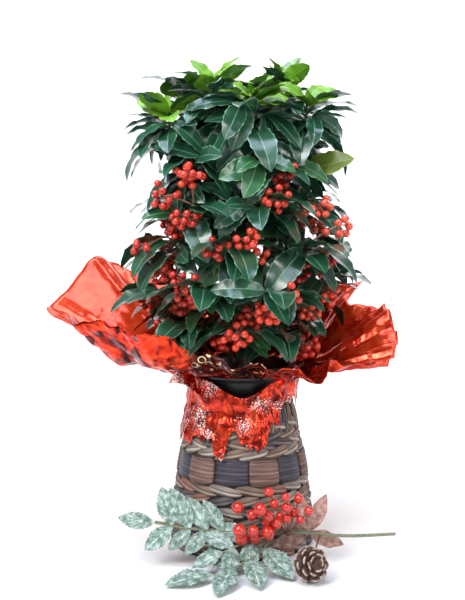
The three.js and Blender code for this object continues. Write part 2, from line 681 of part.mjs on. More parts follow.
/** A thin straight stalk between two points. */
function stalk(from, to, radius) {
  return limb(new THREE.LineCurve3(from, to), radius, radius * 0.8, 3, 1);
}

/** A mass as one solid: its stem, its leaves and its umbels of fruit. */
function massSolid(mass) {
  const parts = [limb(mass.curve, TWIG.radius, TWIG.tipRadius, TWIG.sides, TWIG.steps)];
  for (const leaf of mass.blades) parts.push(blade(leaf, [0.3, 0.68]));
  for (const { root, hub, berries } of mass.fruit) {
    parts.push(stalk(root, hub.clone().lerp(root, -0.06), 1.1));
    for (const place of berries) {
      const reach = place.clone().sub(hub);
      parts.push(strung(hub, reach, [reach.length()], [BERRY.radius], BERRY.sides, BERRY.pedicelRadius));
    }
  }
  return fuse(parts);
}

// The winter pick.

/** A smooth curve through points given as lists of three numbers. */
function through(points) {
  return new THREE.CatmullRomCurve3(points.map((p) => vector(...p)));
}

/** Frosted leaves in pairs along a stem, sized by side, with one at its end, as one solid with their stalk. */
function sprig(curve, pairs, from, facing, sizes, seed) {
  const random = stream(seed * 7919);
  const parts = [limb(curve, 1.3, 0.8, 4, 5)];
  const front = vector(...facing).normalize();
  for (let k = 0; k <= pairs; k++) {
    const share = lerp(1, from, k / pairs);
    for (const way of k === 0 ? [0] : [-1, 1]) {
      const tangent = curve.getTangent(share);
      const normal = front.clone().addScaledVector(tangent, -front.dot(tangent)).normalize();
      const side = vector(0, 0, 0).crossVectors(tangent, normal);
      const heading = tangent.multiplyScalar(way ? 0.55 : 1).addScaledVector(side, way * 0.84).normalize();
      const length = PICK.leafLength * sizes[way + 1] * lerp(0.88, 1.1, random());
      const base = curve.getPoint(share);
      const bend = lerp(0.1, 0.35, random());
      heading.z = Math.max(heading.z, (3 - base.z) / length + bend / 2);
      heading.normalize();
      normal.addScaledVector(heading, -normal.dot(heading)).normalize();
      parts.push(blade({ base, heading, normal, bend, length, width: length * 0.44 }, [0.34, 0.7], 1));
    }
  }
  return fuse(parts);
}

/** The pick's bare stem. */
function pickStem() {
  return limb(through(PICK.stem), PICK.stemRadius, PICK.stemRadius, 5, 14);
}

/** A place just off the pick's stem, at a share of it, on the front or the back. */
function besideStem(share, distance) {
  return through(PICK.stem).getPoint(share).add(vector(0, distance, 0));
}

/** Glossy berries strung on wires that fan out from a hub in front of the stem, towards the upper left. */
function pickBerries() {
  const random = stream(17 * 7919);
  const hubRadius = 3.2;
  const hub = besideStem(PICK.hubAt, -(PICK.stemRadius + GAP + hubRadius));
  const parts = [ball(hub, hubRadius)];
  for (let k = 0; k < PICK.wires; k++) {
    const turn = lerp(radians(184), radians(58), k / (PICK.wires - 1));
    const reach = PICK.wireLength * lerp(0.78, 1, random()) * (k > 5 ? 0.72 : 1);
    const lean = k % 2 ? -0.5 : -0.16;
    const heading = vector(Math.cos(turn), lean, Math.sin(turn) * 0.9);
    const shares = k > 5 ? [0.6, 1] : [0.42, 0.72, 1];
    const radii = shares.map(() => lerp(PICK.smallBerry, PICK.bigBerry, (k < 4 ? 0.45 : 0) + 0.55 * random()));
    parts.push(strung(hub, heading, shares.map((share) => share * reach), radii, 5, 0.8));
  }
  return fuse(parts);
}

/** Five gauze petals behind the stem. */
function petals() {
  const hubRadius = 2.8;
  const hub = besideStem(PICK.petalsAt, PICK.stemRadius + GAP + hubRadius);
  const parts = [ball(hub, hubRadius)];
  for (const angle of [106, 62, -24, 206, 154]) {
    const turn = radians(angle);
    const heading = vector(Math.cos(turn), 0.08, Math.sin(turn)).normalize();
    const normal = vector(0, -1, 0);
    normal.addScaledVector(heading, -normal.dot(heading)).normalize();
    const leaf = { base: hub.clone(), heading, normal, bend: 0.3, length: PICK.petalLength, width: PICK.petalWidth };
    parts.push(blade(leaf, [0.4, 0.75], 1));
  }
  return fuse(parts);
}

/** The pine cone on its wire: a core with open scales on a spiral, its tip turned to the front. */
function pineCone() {
  const radius = PICK.coneRadius;
  const parts = [solid(new THREE.SphereGeometry(radius * 0.62, 7, 5).scale(1, 1, 1.2))];
  for (let k = 0; k < PICK.coneScales; k++) {
    const share = (k + 0.5) / PICK.coneScales;
    const turn = k * GOLDEN;
    const slope = lerp(0.25, 2.5, share);
    const out = vector(Math.sin(slope) * Math.cos(turn), Math.sin(slope) * Math.sin(turn), Math.cos(slope));
    const side = vector(-Math.sin(turn), Math.cos(turn), 0);
    const normal = vector(0, 0, 0).crossVectors(side, out).multiplyScalar(-1);
    const leaf = {
      base: out.clone().multiplyScalar(radius * 0.3), heading: out, normal, bend: 0.5,
      length: radius * lerp(0.8, 0.95, Math.sin(slope)), width: radius * 0.8,
    };
    parts.push(blade(leaf, [0.7], 2.4));
  }
  const cone = fuse(parts).rotate([68, 0, 24]).translate(PICK.cone);
  const wireStart = besideStem(PICK.coneAt, -(PICK.stemRadius + GAP + 0.7));
  return fuse([cone, stalk(wireStart, vector(...PICK.cone), 1)]);
}

// Assembly.

const model = new THREE.Group();
const collar = filmCollar();
model.add(mesh("basket", basket(), LOOKS.woven));
model.add(mesh("nursery_pot", innerPot(), LOOKS.potPlastic));
model.add(mesh("soil", soil(), LOOKS.peat));
model.add(mesh("film_collar", collar, LOOKS.film));
model.add(mesh("film_apron", filmApron(), LOOKS.film));

const thicket = new Thicket();
const limbs = growLimbs(thicket);
for (const part of limbs) {
  const trunk = limbs[0];
  const size = part === trunk ? TRUNK : BOUGH;
  const flare = part === trunk ? TRUNK.flare : 0;
  part.drawn = limb(part.curve, part.radii[0], part.radii[1], size.sides, size.steps, flare);
  const start = part.curve.getPoint(0);
  const inward = vector(trunk.curve.getPoint(shareAtHeight(trunk.curve, start.z)).x - start.x, -start.y, 0);
  part.placed = part === trunk ? part.drawn : seat(part.drawn, trunk.placed, inward);
  part.moved = vector(...part.placed.boundingBox().min).sub(vector(...part.drawn.boundingBox().min));
  model.add(mesh(part.name, part.placed, LOOKS.bark));
}
for (const mass of growMasses(limbs, thicket)) {
  const made = massSolid(mass).translate(mass.parent.moved.toArray());
  const placed = mass.crown ? made : seat(made, mass.parent.placed, mass.inward);
  model.add(mesh(mass.name, placed, mass.fruit.length ? LOOKS.fruiting : LOOKS.foliage));
}

const leafyPart = through([PICK.stem[2], PICK.stem[1], PICK.stem[0]].map(([x, y, z]) => [x, y - 3.4, z]));
const stem = pickStem();
const back = vector(0, 1, 0);
model.add(mesh("pick_stem", stem, LOOKS.bark));
const upper = sprig(leafyPart, 4, 0.24, [0, -1, 0.35], [0.84, 1, 1.05], 5);
model.add(mesh("pick_leaves_upper", seat(upper, stem, back), LOOKS.frosted));
const lower = sprig(through(PICK.twig), 3, 0.3, [0, 0, 1], [1.35, 1.1, 0.6], 9);
model.add(mesh("pick_leaves_lower", seat(lower, stem, UP), LOOKS.frosted));
model.add(mesh("pick_berries", seat(pickBerries(), stem, back), LOOKS.pickBerry));
model.add(mesh("pick_petals", seat(petals(), stem, back.clone().negate()), LOOKS.petal));
model.add(mesh("pine_cone", seat(pineCone(), stem, back), LOOKS.cone));

export default model;
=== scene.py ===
"""A potted coral berry shrub in a woven basket, dressed with a red film collar and a winter pick.

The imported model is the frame. Sizes are in millimetres, as in the part's source, and each finished mesh
is turned to metres. The plant grows by the rule of the part's source, written again here, and is then
carried on to more leaves, fruit and young shoots within the same reach.
"""

import logging
import math
from collections.abc import Callable, Sequence
from dataclasses import dataclass, field
from enum import Enum
from typing import NamedTuple

import bmesh
import bpy
import numpy as np
from mathutils import Matrix, Vector, noise


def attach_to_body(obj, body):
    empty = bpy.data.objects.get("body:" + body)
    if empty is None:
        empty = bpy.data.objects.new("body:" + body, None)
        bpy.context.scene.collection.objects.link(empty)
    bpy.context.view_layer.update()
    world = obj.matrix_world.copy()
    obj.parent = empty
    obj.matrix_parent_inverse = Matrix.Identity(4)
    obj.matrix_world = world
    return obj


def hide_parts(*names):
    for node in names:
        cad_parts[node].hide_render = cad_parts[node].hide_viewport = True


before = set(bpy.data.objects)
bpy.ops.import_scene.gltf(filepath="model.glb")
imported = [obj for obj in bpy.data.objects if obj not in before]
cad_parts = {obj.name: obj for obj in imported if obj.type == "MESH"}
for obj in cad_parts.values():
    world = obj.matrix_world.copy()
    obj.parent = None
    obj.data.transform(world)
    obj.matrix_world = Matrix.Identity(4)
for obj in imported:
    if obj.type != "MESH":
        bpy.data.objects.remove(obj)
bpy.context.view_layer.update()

Array = np.ndarray
Amount = float | Array
Random = Callable[[], float]
Shape = bmesh.types.BMesh
Piece = bpy.types.Object
Socket = bpy.types.NodeSocket

MM = 0.001
GAP = 0.3
LOWEST = 0.3
GOLDEN = math.radians(137.508)
UP = np.array([0.0, 0.0, 1.0])

log = logging.getLogger("shrub")


# Numbers, curves and seeded streams.


def lerp(low: Amount, high: Amount, share: Amount) -> Amount:
    """A value between two others, at a share of the way."""
    return (1 - share) * low + share * high


def unit(vectors: Array) -> Array:
    """Vectors scaled to length one."""
    return vectors / np.linalg.norm(vectors, axis=-1, keepdims=True)


def polar(azimuth: float, out: float, height: float) -> Array:
    """A point from its azimuth in degrees, distance from the axis and height."""
    turn = math.radians(azimuth)
    return np.array([out * math.cos(turn), out * math.sin(turn), height])


def ease(value: Array, low: float, high: float) -> Array:
    """A smooth step from 0 at low to 1 at high."""
    share = np.clip((value - low) / (high - low), 0, 1)
    return share * share * (3 - 2 * share)


def bell(azimuth: Array, middle: float, width: float) -> Array:
    """1 at an azimuth in degrees, falling to 0 over a width on either side."""
    away = ((azimuth - middle + 180) % 360 - 180) / width
    return np.exp(-away * away)


def pleat(angle: Array) -> Array:
    """A triangle wave between -1 and 1, for folds with sharp edges."""
    return np.arcsin(np.sin(angle)) * 2 / math.pi


def stream(seed: int, spread: int = 7919) -> Random:
    """Makes a seeded stream of numbers between 0 and 1.

    Args:
        seed: What tells it from others.
        spread: Sets near seeds far apart.

    Returns:
        A function that draws the next number.
    """
    state = seed * spread

    def draw() -> float:
        """The next number of the stream."""
        nonlocal state
        state = state * 16807 % 2147483647
        return state / 2147483647

    return draw


def around(table: Sequence[Sequence[float]], azimuth: Array) -> Array:
    """Blends the rows of a table smoothly by azimuth, right round the circle.

    Args:
        table: Rows that start with an azimuth in degrees, in rising order.
        azimuth: Azimuths in degrees.

    Returns:
        The values, one row for each further column.
    """
    rows = np.array(table, float)
    angle = np.asarray(azimuth, float) % 360
    after = np.searchsorted(rows[:, 0], angle, side="right") % len(rows)
    before = after - 1
    span = (rows[after, 0] - rows[before, 0]) % 360
    share = ((angle - rows[before, 0]) % 360) / span
    return lerp(rows[before, 1:].T, rows[after, 1:].T, ease(share, 0, 1))


class Curve:
    """A Bezier curve with two, three or four control points."""

    def __init__(self, *points: Sequence[float]) -> None:
        """Keeps the control points."""
        self.points = np.array(points, float)

    def at(self, share: Amount) -> Array:
        """Points of the curve.

        Args:
            share: Shares of the way along it, from 0 to 1.

        Returns:
            One point for each share.
        """
        t = np.asarray(share, float)[..., None]
        degree = len(self.points) - 1
        total = np.zeros(t.shape[:-1] + (3,))
        for k, point in enumerate(self.points):
            total = total + math.comb(degree, k) * (1 - t) ** (degree - k) * t**k * point
        return total

    def heading(self, share: Amount) -> Array:
        """Directions of the curve at shares of it."""
        t = np.asarray(share, float)
        return unit(self.at(np.minimum(t + 1e-4, 1)) - self.at(np.maximum(t - 1e-4, 0)))

    def share_at_height(self, height: float) -> float:
        """Finds where a rising curve passes a height.

        Args:
            height: The height.

        Returns:
            The share of the way along the curve.
        """
        low, high = 0.0, 1.0
        for _ in range(30):
            middle = (low + high) / 2
            if self.at(middle)[2] < height:
                low = middle
            else:
                high = middle
        return low


class Spline(Curve):
    """A smooth curve through all of its points, with even speed at uneven spacing."""

    def at(self, share: Amount) -> Array:
        """Points of the curve, one for each share of the way along it."""
        found = np.array([self.point(s) for s in np.atleast_1d(share)])
        return found[0] if np.ndim(share) == 0 else found

    def point(self, share: float) -> Array:
        """Works out one point from the four control points around it.

        Args:
            share: The share of the way along the curve.

        Returns:
            The point.
        """
        points = self.points
        last = len(points) - 1
        index = min(int(share * last), last - 1)
        t = share * last - index
        p1, p2 = points[index], points[index + 1]
        p0 = points[index - 1] if index else 2 * p1 - p2
        p3 = points[index + 2] if index + 2 <= last else 2 * p2 - p1
        d0, d1, d2 = (np.linalg.norm(b - a) ** 0.5 for a, b in ((p0, p1), (p1, p2), (p2, p3)))
        m1 = ((p1 - p0) / d0 - (p2 - p0) / (d0 + d1) + (p2 - p1) / d1) * d1
        m2 = ((p2 - p1) / d1 - (p3 - p1) / (d1 + d2) + (p3 - p2) / d2) * d1
        return p1 + m1 * t + (3 * (p2 - p1) - 2 * m1 - m2) * t**2 + (2 * (p1 - p2) + m1 + m2) * t**3


# Meshes: shapes made by operators, and small shapes repeated in joined meshes.


def corners_of(shape: Shape) -> Array:
    """The places of a shape's corners."""
    return np.array([corner.co for corner in shape.verts])


def move_corners(shape: Shape, places: Array) -> None:
    """Puts a shape's corners in new places."""
    for corner, place in zip(shape.verts, places):
        corner.co = place


def field_of(across: int, along: int, place: Callable[[Array, Array], Array], merge: float = 1e-4) -> Shape:
    """Makes a grid of faces whose corners a function puts in place.

    Args:
        across: Faces one way.
        along: Faces the other way.
        place: Gives places in millimetres from the corners' two shares.
        merge: Corners nearer than this become one, which closes seams and poles.

    Returns:
        The shape, with a UV map of the two shares.
    """
    made = bmesh.new()
    layer = made.loops.layers.uv.new("UVMap")
    bmesh.ops.create_grid(made, x_segments=across, y_segments=along, size=0.5)
    flat = corners_of(made)[:, :2] + 0.5
    made.verts.index_update()
    for face in made.faces:
        for loop in face.loops:
            loop[layer].uv = flat[loop.vert.index]
    move_corners(made, place(flat[:, 0], flat[:, 1]))
    bmesh.ops.remove_doubles(made, verts=made.verts, dist=merge)
    return made


def turned(profile: Sequence[tuple[float, float]], steps: int = 96) -> Shape:
    """Spins a profile right round the axis.

    Args:
        profile: Points of radius and height, in millimetres, from axis to axis.
        steps: Faces round the axis.

    Returns:
        The turned shape, with its faces outwards.
    """
    made = bmesh.new()
    line = [made.verts.new((radius, 0, height)) for radius, height in profile]
    edges = [made.edges.new(pair) for pair in zip(line, line[1:])]
    bmesh.ops.spin(made, geom=line + edges, axis=(0, 0, 1), angle=math.tau, steps=steps, use_merge=True)
    bmesh.ops.remove_doubles(made, verts=made.verts, dist=1e-3)
    bmesh.ops.recalc_face_normals(made, faces=made.faces)
    return made


def rod(sides: int, rows: int) -> Shape:
    """Makes a round rod of radius 1 from height 0 to 1, closed at both ends.

    Args:
        sides: Faces round it.
        rows: Faces along it.

    Returns:
        The rod.
    """
    made = bmesh.new()
    bmesh.ops.create_cone(made, cap_ends=True, segments=sides, radius1=1, radius2=1, depth=1)
    long_edges = [e for e in made.edges if abs(e.verts[0].co.z - e.verts[1].co.z) > 0.5]
    bmesh.ops.subdivide_edges(made, edges=long_edges, cuts=rows - 1, use_grid_fill=True)
    bmesh.ops.translate(made, verts=made.verts, vec=(0, 0, 0.5))
    return made


def pillow(cuts: int, squareness: float) -> Shape:
    """Makes a box from -1 to 1 each way with rounded edges.

    Args:
        cuts: Cuts across each side.
        squareness: 2 gives a ball, and more gives flatter sides.

    Returns:
        The rounded box.
    """
    made = bmesh.new()
    bmesh.ops.create_cube(made, size=2)
    bmesh.ops.subdivide_edges(made, edges=made.edges, cuts=cuts, use_grid_fill=True)
    places = corners_of(made)
    size = (np.abs(places) ** squareness).sum(1) ** (1 / squareness)
    move_corners(made, places / size[:, None])
    return made


def ball(segments: int, rings: int, radius: float = 1.0) -> Shape:
    """A ball round the origin."""
    made = bmesh.new()
    bmesh.ops.create_uvsphere(made, u_segments=segments, v_segments=rings, radius=radius)
    return made


@dataclass
class Stamp:
    """A small shape that is repeated: its corners, and each face's corners, finish and UV places."""

    corners: Array
    loops: Array
    sizes: Array
    finish: Array
    flat: Array

    @classmethod
    def take(cls, shape: Shape, flat: Callable[[Array], Array] | None = None) -> "Stamp":
        """Reads a shape and frees it.

        Args:
            shape: The shape.
            flat: Gives UV places from corners, for a shape without a map.

        Returns:
            The stamp.
        """
        shape.verts.index_update()
        corners = corners_of(shape)
        loops = [loop for face in shape.faces for loop in face.loops]
        index = np.array([loop.vert.index for loop in loops])
        layer = shape.loops.layers.uv.active
        if flat is None:
            uv = np.array([loop[layer].uv for loop in loops]) if layer else np.zeros((len(loops), 2))
        else:
            uv = flat(corners)[index]
        sizes = np.array([len(face.verts) for face in shape.faces])
        finish = np.array([face.material_index for face in shape.faces])
        shape.free()
        return cls(corners, index, sizes, finish, uv)


class Batch:
    """Copies of stamps that are joined into one mesh from arrays."""

    def __init__(self) -> None:
        """Starts empty."""
        self.copies: list[tuple[Stamp, Array, int]] = []

    def add(self, stamp: Stamp, places: Array, finish: int = 0) -> None:
        """Adds a copy with its corners at places; finish is added to its faces' numbers."""
        self.copies.append((stamp, places, finish))

    def tube(self, stamp: Stamp, curve: Curve, radii: Callable[[Array], Amount], finish: int = 0) -> None:
        """Adds a rod that is bent round a curve, with its radii by shares of the way along."""
        self.add(stamp, along_tube(stamp, curve, radii), finish)

    def put(self, stamp: Stamp, place: Array, heading: Array, scale: Amount, finish: int = 0) -> None:
        """Adds a copy that is scaled, turned and moved.

        Args:
            stamp: The shape.
            place: Where its origin goes.
            heading: Where its Z axis points.
            scale: One scale, or one for each axis.
            finish: The number of its finish.
        """
        axis = unit(heading)
        side = unit(np.cross(axis, [1.0, 0.0, 0.0] if abs(axis[2]) > 0.9 else UP))
        x, y, z = (stamp.corners * scale).T[:, :, None]
        self.add(stamp, place + x * side + y * np.cross(axis, side) + z * axis, finish)

    def mesh(self, name: str) -> bpy.types.Mesh:
        """Joins the copies.

        Args:
            name: The mesh's name.

        Returns:
            The mesh, in metres and smooth.
        """
        counts = np.cumsum([0] + [len(places) for _, places, _ in self.copies])
        made = bpy.data.meshes.new(name)
        corners = np.concatenate([places for _, places, _ in self.copies]) * MM
        loops = np.concatenate([s.loops + start for (s, _, _), start in zip(self.copies, counts)])
        sizes = np.concatenate([s.sizes for s, _, _ in self.copies])
        finish = np.concatenate([s.finish + extra for s, _, extra in self.copies])
        flat = np.concatenate([s.flat for s, _, _ in self.copies])
        starts = np.concatenate([[0], np.cumsum(sizes)[:-1]])
        made.vertices.add(len(corners))
        made.vertices.foreach_set("co", corners.astype(np.float32).ravel())
        made.loops.add(len(loops))
        made.loops.foreach_set("vertex_index", loops.astype(np.int32))
        made.polygons.add(len(sizes))
        made.polygons.foreach_set("loop_start", starts.astype(np.int32))
        made.polygons.foreach_set("material_index", finish.astype(np.int32))
        made.uv_layers.new(name="UVMap").data.foreach_set("uv", flat.astype(np.float32).ravel())
        made.update(calc_edges=True)
        made.shade_smooth()
        return made


def along_tube(stamp: Stamp, curve: Curve, radii: Callable[[Array], Amount]) -> Array:
    """Bends a rod's corners round a curve.

    Args:
        stamp: The rod.
        curve: The middle line.
        radii: Gives the radius at shares of the way along.

    Returns:
        The places of the corners.
    """
    x, y, share = stamp.corners.T
    run = curve.at(1.0) - curve.at(0.0)
    heading = curve.heading(share)
    side = unit(np.cross(np.eye(3)[np.argmin(np.abs(run))], heading))
    over = np.cross(heading, side)
    radius = np.broadcast_to(radii(share), share.shape)[:, None]
    return curve.at(share) + radius * (x[:, None] * side + y[:, None] * over)


def mesh_of(shape: Shape, name: str) -> bpy.types.Mesh:
    """Turns a shape in millimetres into a smooth mesh in metres, and frees the shape.

    Args:
        shape: The shape.
        name: The mesh's name.

    Returns:
        The mesh.
    """
    bmesh.ops.scale(shape, vec=(MM, MM, MM), verts=shape.verts)
    made = bpy.data.meshes.new(name)
    shape.to_mesh(made)
    shape.free()
    made.shade_smooth()
    return made


def piece_of(mesh: bpy.types.Mesh, slot: str, finishes: Sequence["Finish"], *nodes: str) -> Piece:
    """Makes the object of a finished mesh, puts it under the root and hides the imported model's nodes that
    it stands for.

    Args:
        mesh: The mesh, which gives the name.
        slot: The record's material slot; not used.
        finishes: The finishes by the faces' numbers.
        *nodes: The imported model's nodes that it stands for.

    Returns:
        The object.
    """
    for finish in finishes:
        mesh.materials.append(finish.material())
    made = bpy.data.objects.new(mesh.name, mesh)
    bpy.context.scene.collection.objects.link(made)
    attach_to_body(made, "root")
    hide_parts(*nodes)
    log.info("%s: %d faces", mesh.name, len(mesh.polygons))
    return made


def roughen(places: Array, grain: float, depth: float, seed: float = 0.0) -> Array:
    """Noise at places, up to a depth. A swelling is a grain across, and the seed moves the field."""
    return np.array([noise.noise(Vector(spot)) for spot in places / grain + seed]) * depth


# Finishes.


def colour(code: str) -> tuple[float, float, float, float]:
    """Turns an sRGB hex code into a linear colour.

    Args:
        code: The code, with its hash sign.

    Returns:
        Red, green, blue and a full alpha.
    """
    parts = [int(code[i : i + 2], 16) / 255 for i in (1, 3, 5)]
    red, green, blue = (p / 12.92 if p <= 0.04045 else ((p + 0.055) / 1.055) ** 2.4 for p in parts)
    return (red, green, blue, 1.0)


def per(size: float) -> float:
    """The scale of a pattern whose marks are a size in millimetres."""
    return 1 / (size * MM)


class Ground:
    """What a finish is painted on: a new material with its shader, and coordinates for its patterns."""

    def __init__(self, name: str, own_map: bool, stretch: Sequence[float]) -> None:
        """Starts the material.

        Args:
            name: Its name.
            own_map: Whether its patterns follow the mesh's own map.
            stretch: Scales of the stretched coordinates.
        """
        self.material = bpy.data.materials.new(name)
        self.material.use_nodes = True
        self.tree = self.material.node_tree
        self.shader = self.tree.nodes["Principled BSDF"]
        places = self.add("TexCoord").node.outputs
        self.solid = places["Object"]
        self.source = places["UV" if own_map else "Object"]
        self.spots = self.add("Mapping", {"Vector": self.source, "Scale": stretch})

    def add(
        self, kind: str, inputs: dict | None = None, out: int = 0, stops: Sequence[tuple[float, str]] = (),
        **settings: object,
    ) -> Socket:
        """Adds a shader node with its settings and links.

        Args:
            kind: The node's type, without ShaderNode.
            inputs: Values or sockets by the input's name or number.
            out: The number of the wanted output.
            stops: A colour ramp's positions and hex codes.
            **settings: The node's own settings.

        Returns:
            The output.
        """
        node = self.tree.nodes.new("ShaderNode" + kind)
        for name, value in settings.items():
            setattr(node, name, value)
        for name, value in (inputs or {}).items():
            if isinstance(value, Socket):
                self.tree.links.new(value, node.inputs[name])
            else:
                node.inputs[name].default_value = value
        if stops:
            elements = node.color_ramp.elements
            elements[0].position, elements[1].position = stops[0][0], stops[-1][0]
            for position, _ in stops[1:-1]:
                elements.new(position)
            for element, (_, code) in zip(elements, stops):
                element.color = colour(code)
        return node.outputs[out]

    def link(self, value: Socket, name: str) -> None:
        """Links a socket to one of the shader's inputs."""
        self.tree.links.new(value, self.shader.inputs[name])


@dataclass(frozen=True)
class Finish:
    """A finish: colours mottled by noise, with their gloss and relief. Lengths are in millimetres."""

    name: str
    colours: tuple[str, ...]
    roughness: float
    grain: float = 20.0
    stretch: tuple[float, float, float] = (1.0, 1.0, 1.0)
    relief: float = 0.0
    relief_grain: float = 2.0
    metallic: float = 0.0
    coat: float = 0.0
    coat_roughness: float = 0.1
    sheen: float = 0.0
    subsurface: float = 0.0
    own_map: bool = False

    def material(self) -> bpy.types.Material:
        """Makes the material once, and then gives it again.

        Returns:
            The material.
        """
        known = bpy.data.materials.get(self.name)
        if known:
            return known
        on = Ground(self.name, self.own_map, self.stretch)
        values = {"Roughness": self.roughness, "Metallic": self.metallic, "Coat Weight": self.coat}
        values |= {"Coat Roughness": self.coat_roughness, "Sheen Weight": self.sheen}
        values |= {"Subsurface Weight": self.subsurface, "Subsurface Scale": 0.002}
        for name, value in values.items():
            on.shader.inputs[name].default_value = value
        self.paint(on)
        height = self.height(on)
        if height:
            on.link(on.add("Bump", {"Height": height, "Distance": self.relief * MM}), "Normal")
        return on.material

    def stops(self) -> list[tuple[float, str]]:
        """The colours and their positions on a ramp, spread over the middle of a noise's range."""
        codes = self.colours if len(self.colours) > 1 else self.colours * 2
        return [(0.32 + 0.36 * i / (len(codes) - 1), code) for i, code in enumerate(codes)]

    def paint(self, on: Ground) -> None:
        """Links the mottled colours."""
        share = on.add("TexNoise", {"Vector": on.spots, "Scale": per(self.grain), "Detail": 3.0})
        on.link(on.add("ValToRGB", {"Fac": share}, stops=self.stops()), "Base Color")

    def height(self, on: Ground) -> Socket | None:
        """The relief, or nothing where the surface is smooth."""
        inputs = {"Vector": on.spots, "Scale": per(self.relief_grain), "Detail": 5.0}
        return on.add("TexNoise", inputs) if self.relief else None


class FilmPrint(Enum):
    """What is printed on a piece of film."""

    GOLD_RINGS = "gold rings on the front lip"
    SNOW = "white flock in patches"


@dataclass(frozen=True)
class FilmFinish(Finish):
    """Metallised film: creased into small facets, with a print. Its places are in metres."""

    design: FilmPrint = FilmPrint.SNOW
    facet: float = 24.0

    LEAST = 0.2
    SMOOTH_LOBE = (-0.16, 0.09, 0.28)
    SNOW_PATCHES = (((-0.05, -0.045, 0.155), 0.034), ((0.004, -0.07, 0.146), 0.026))

    def crushed(self, on: Ground) -> Socket:
        """Tells how crumpled the film is: smooth at the back left, less on the right, and crumpled in front.

        Args:
            on: The material under way.

        Returns:
            A number from the least to 1.
        """
        away = on.add("VectorMath", {0: on.source, 1: self.SMOOTH_LOBE}, 1, operation="DISTANCE")
        left = on.add("MapRange", {0: away, 1: 0.085, 2: 0.13, 3: self.LEAST})
        across = on.add("SeparateXYZ", {0: on.source})
        right = on.add("MapRange", {0: across, 1: 0.12, 2: 0.08, 3: 0.35})
        return on.add("Math", {0: left, 1: right}, operation="MINIMUM")

    def facets(self, on: Ground, size: float, out: int) -> Socket:
        """Adds cells that are bent by a slow noise.

        Args:
            on: The material under way.
            size: The size of a cell in millimetres.
            out: 0 for the distance from a cell's middle, and 1 for its colour.

        Returns:
            The output.
        """
        bend = on.add("TexNoise", {"Vector": on.source, "Scale": per(60)}, 1)
        bent = on.add("Mix", {0: 0.035, 4: on.source, 5: bend}, 1, data_type="VECTOR")
        return on.add("TexVoronoi", {"Vector": bent, "Scale": per(size)}, out)

    def height(self, on: Ground) -> Socket:
        """Adds the creases: ridges between facets of two sizes.

        Args:
            on: The material under way.

        Returns:
            Their height, as a share of the relief.
        """
        coarse, fine = self.facets(on, self.facet, 0), self.facets(on, self.facet * 0.36, 0)
        both = on.add("Math", {0: fine, 1: 0.3, 2: coarse}, operation="MULTIPLY_ADD")
        return on.add("Math", {0: both, 1: self.crushed(on)}, operation="MULTIPLY")

    def paint(self, on: Ground) -> None:
        """Links the film's colours and the print over them.

        On crumpled film, dark blotches and differing facets are painted reflections. Smooth film is painted
        even.

        Args:
            on: The material under way.
        """
        # Painted reflections: each facet's own tone, and dark blots.
        facet_reflection = on.add("SeparateColor", {0: self.facets(on, self.facet * 0.5, 1)})
        crushed = self.crushed(on)
        reflection_blots = {"Vector": on.source, "Scale": per(self.grain), "Detail": 1.5, "Distortion": 1.8}
        both = on.add("Mix", {0: 0.22, 2: on.add("TexNoise", reflection_blots), 3: facet_reflection})
        odd = on.add("Math", {0: both, 1: 0.5}, operation="SUBTRACT")
        # Crumpled film gets strong painted reflections and a darker middle; smooth film is painted even and
        # lighter.
        amount = on.add("MapRange", {0: crushed, 1: self.LEAST, 3: 0.3, 4: 1.5})
        middle = on.add("MapRange", {0: crushed, 1: self.LEAST, 3: 0.61, 4: 0.49})
        share = on.add("Math", {0: odd, 1: amount, 2: middle}, operation="MULTIPLY_ADD")
        base = on.add("ValToRGB", {"Fac": share}, stops=self.stops())
        if self.design is FilmPrint.GOLD_RINGS:
            lip, mask = self.lip_and_rings(on)
            # The lip is painted dark, as the reflection of the black pot.
            base = on.add("Mix", {0: lip, 6: base, 7: colour("#45140c")}, 2, data_type="RGBA")
            ink = colour("#f0cf9a")
            on.link(on.add("MapRange", {0: crushed, 1: self.LEAST, 3: 0.45, 4: self.metallic}), "Metallic")
        else:
            mask, ink = self.snow_mask(on), colour("#e2d8d0")
            on.link(on.add("MapRange", {0: mask, 3: self.metallic, 4: 0.0}), "Metallic")
            on.link(on.add("MapRange", {0: mask, 3: self.roughness, 4: 0.8}), "Roughness")
        on.link(on.add("Mix", {0: mask, 6: base, 7: ink}, 2, data_type="RGBA"), "Base Color")

    def lip_and_rings(self, on: Ground) -> tuple[Socket, Socket]:
        """Marks the lip in front, which is painted dark as the reflection of the pot, and thin rings of 9 mm
        on it.

        Args:
            on: The material under way.

        Returns:
            The lip and the rings, each 1 there and 0 elsewhere.
        """
        split = on.add("SeparateXYZ", {0: on.source})
        front = on.add("MapRange", {0: split.node.outputs[1], 1: -0.064, 2: -0.074})
        centred = on.add("Math", {0: split, 1: 0.012}, operation="ADD")
        away = on.add("Math", {0: centred}, operation="ABSOLUTE")
        lip = on.add("MapRange", {0: away, 1: 0.05, 2: 0.038, 4: front})
        cells = on.add("TexVoronoi", {"Vector": on.source, "Scale": per(13)})
        ring = on.add("Math", {0: cells, 1: 0.32, 2: 0.045}, operation="COMPARE")
        return lip, on.add("Math", {0: ring, 1: lip}, operation="MULTIPLY")

    def snow_mask(self, on: Ground) -> Socket:
        """Marks speckles of about 2 mm, in two patches in front and in fainter ones all round.

        Args:
            on: The material under way.

        Returns:
            1 on a speckle, and 0 elsewhere.
        """
        patch = on.add("TexNoise", {"Vector": on.source, "Scale": per(26), "Detail": 1.0})
        for place, reach in self.SNOW_PATCHES:
            away = on.add("VectorMath", {0: on.source, 1: place}, 1, operation="DISTANCE")
            spot = on.add("MapRange", {0: away, 1: reach, 2: 0.0, 3: 0.3, 4: 0.72})
            patch = on.add("Math", {0: patch, 1: spot}, operation="MAXIMUM")
        speckles = on.add("TexNoise", {"Vector": on.source, "Scale": per(1.7), "Detail": 4.0})
        share = on.add("Math", {0: speckles, 1: patch}, operation="MULTIPLY")
        return on.add("MapRange", {0: share, 1: 0.335, 2: 0.36})


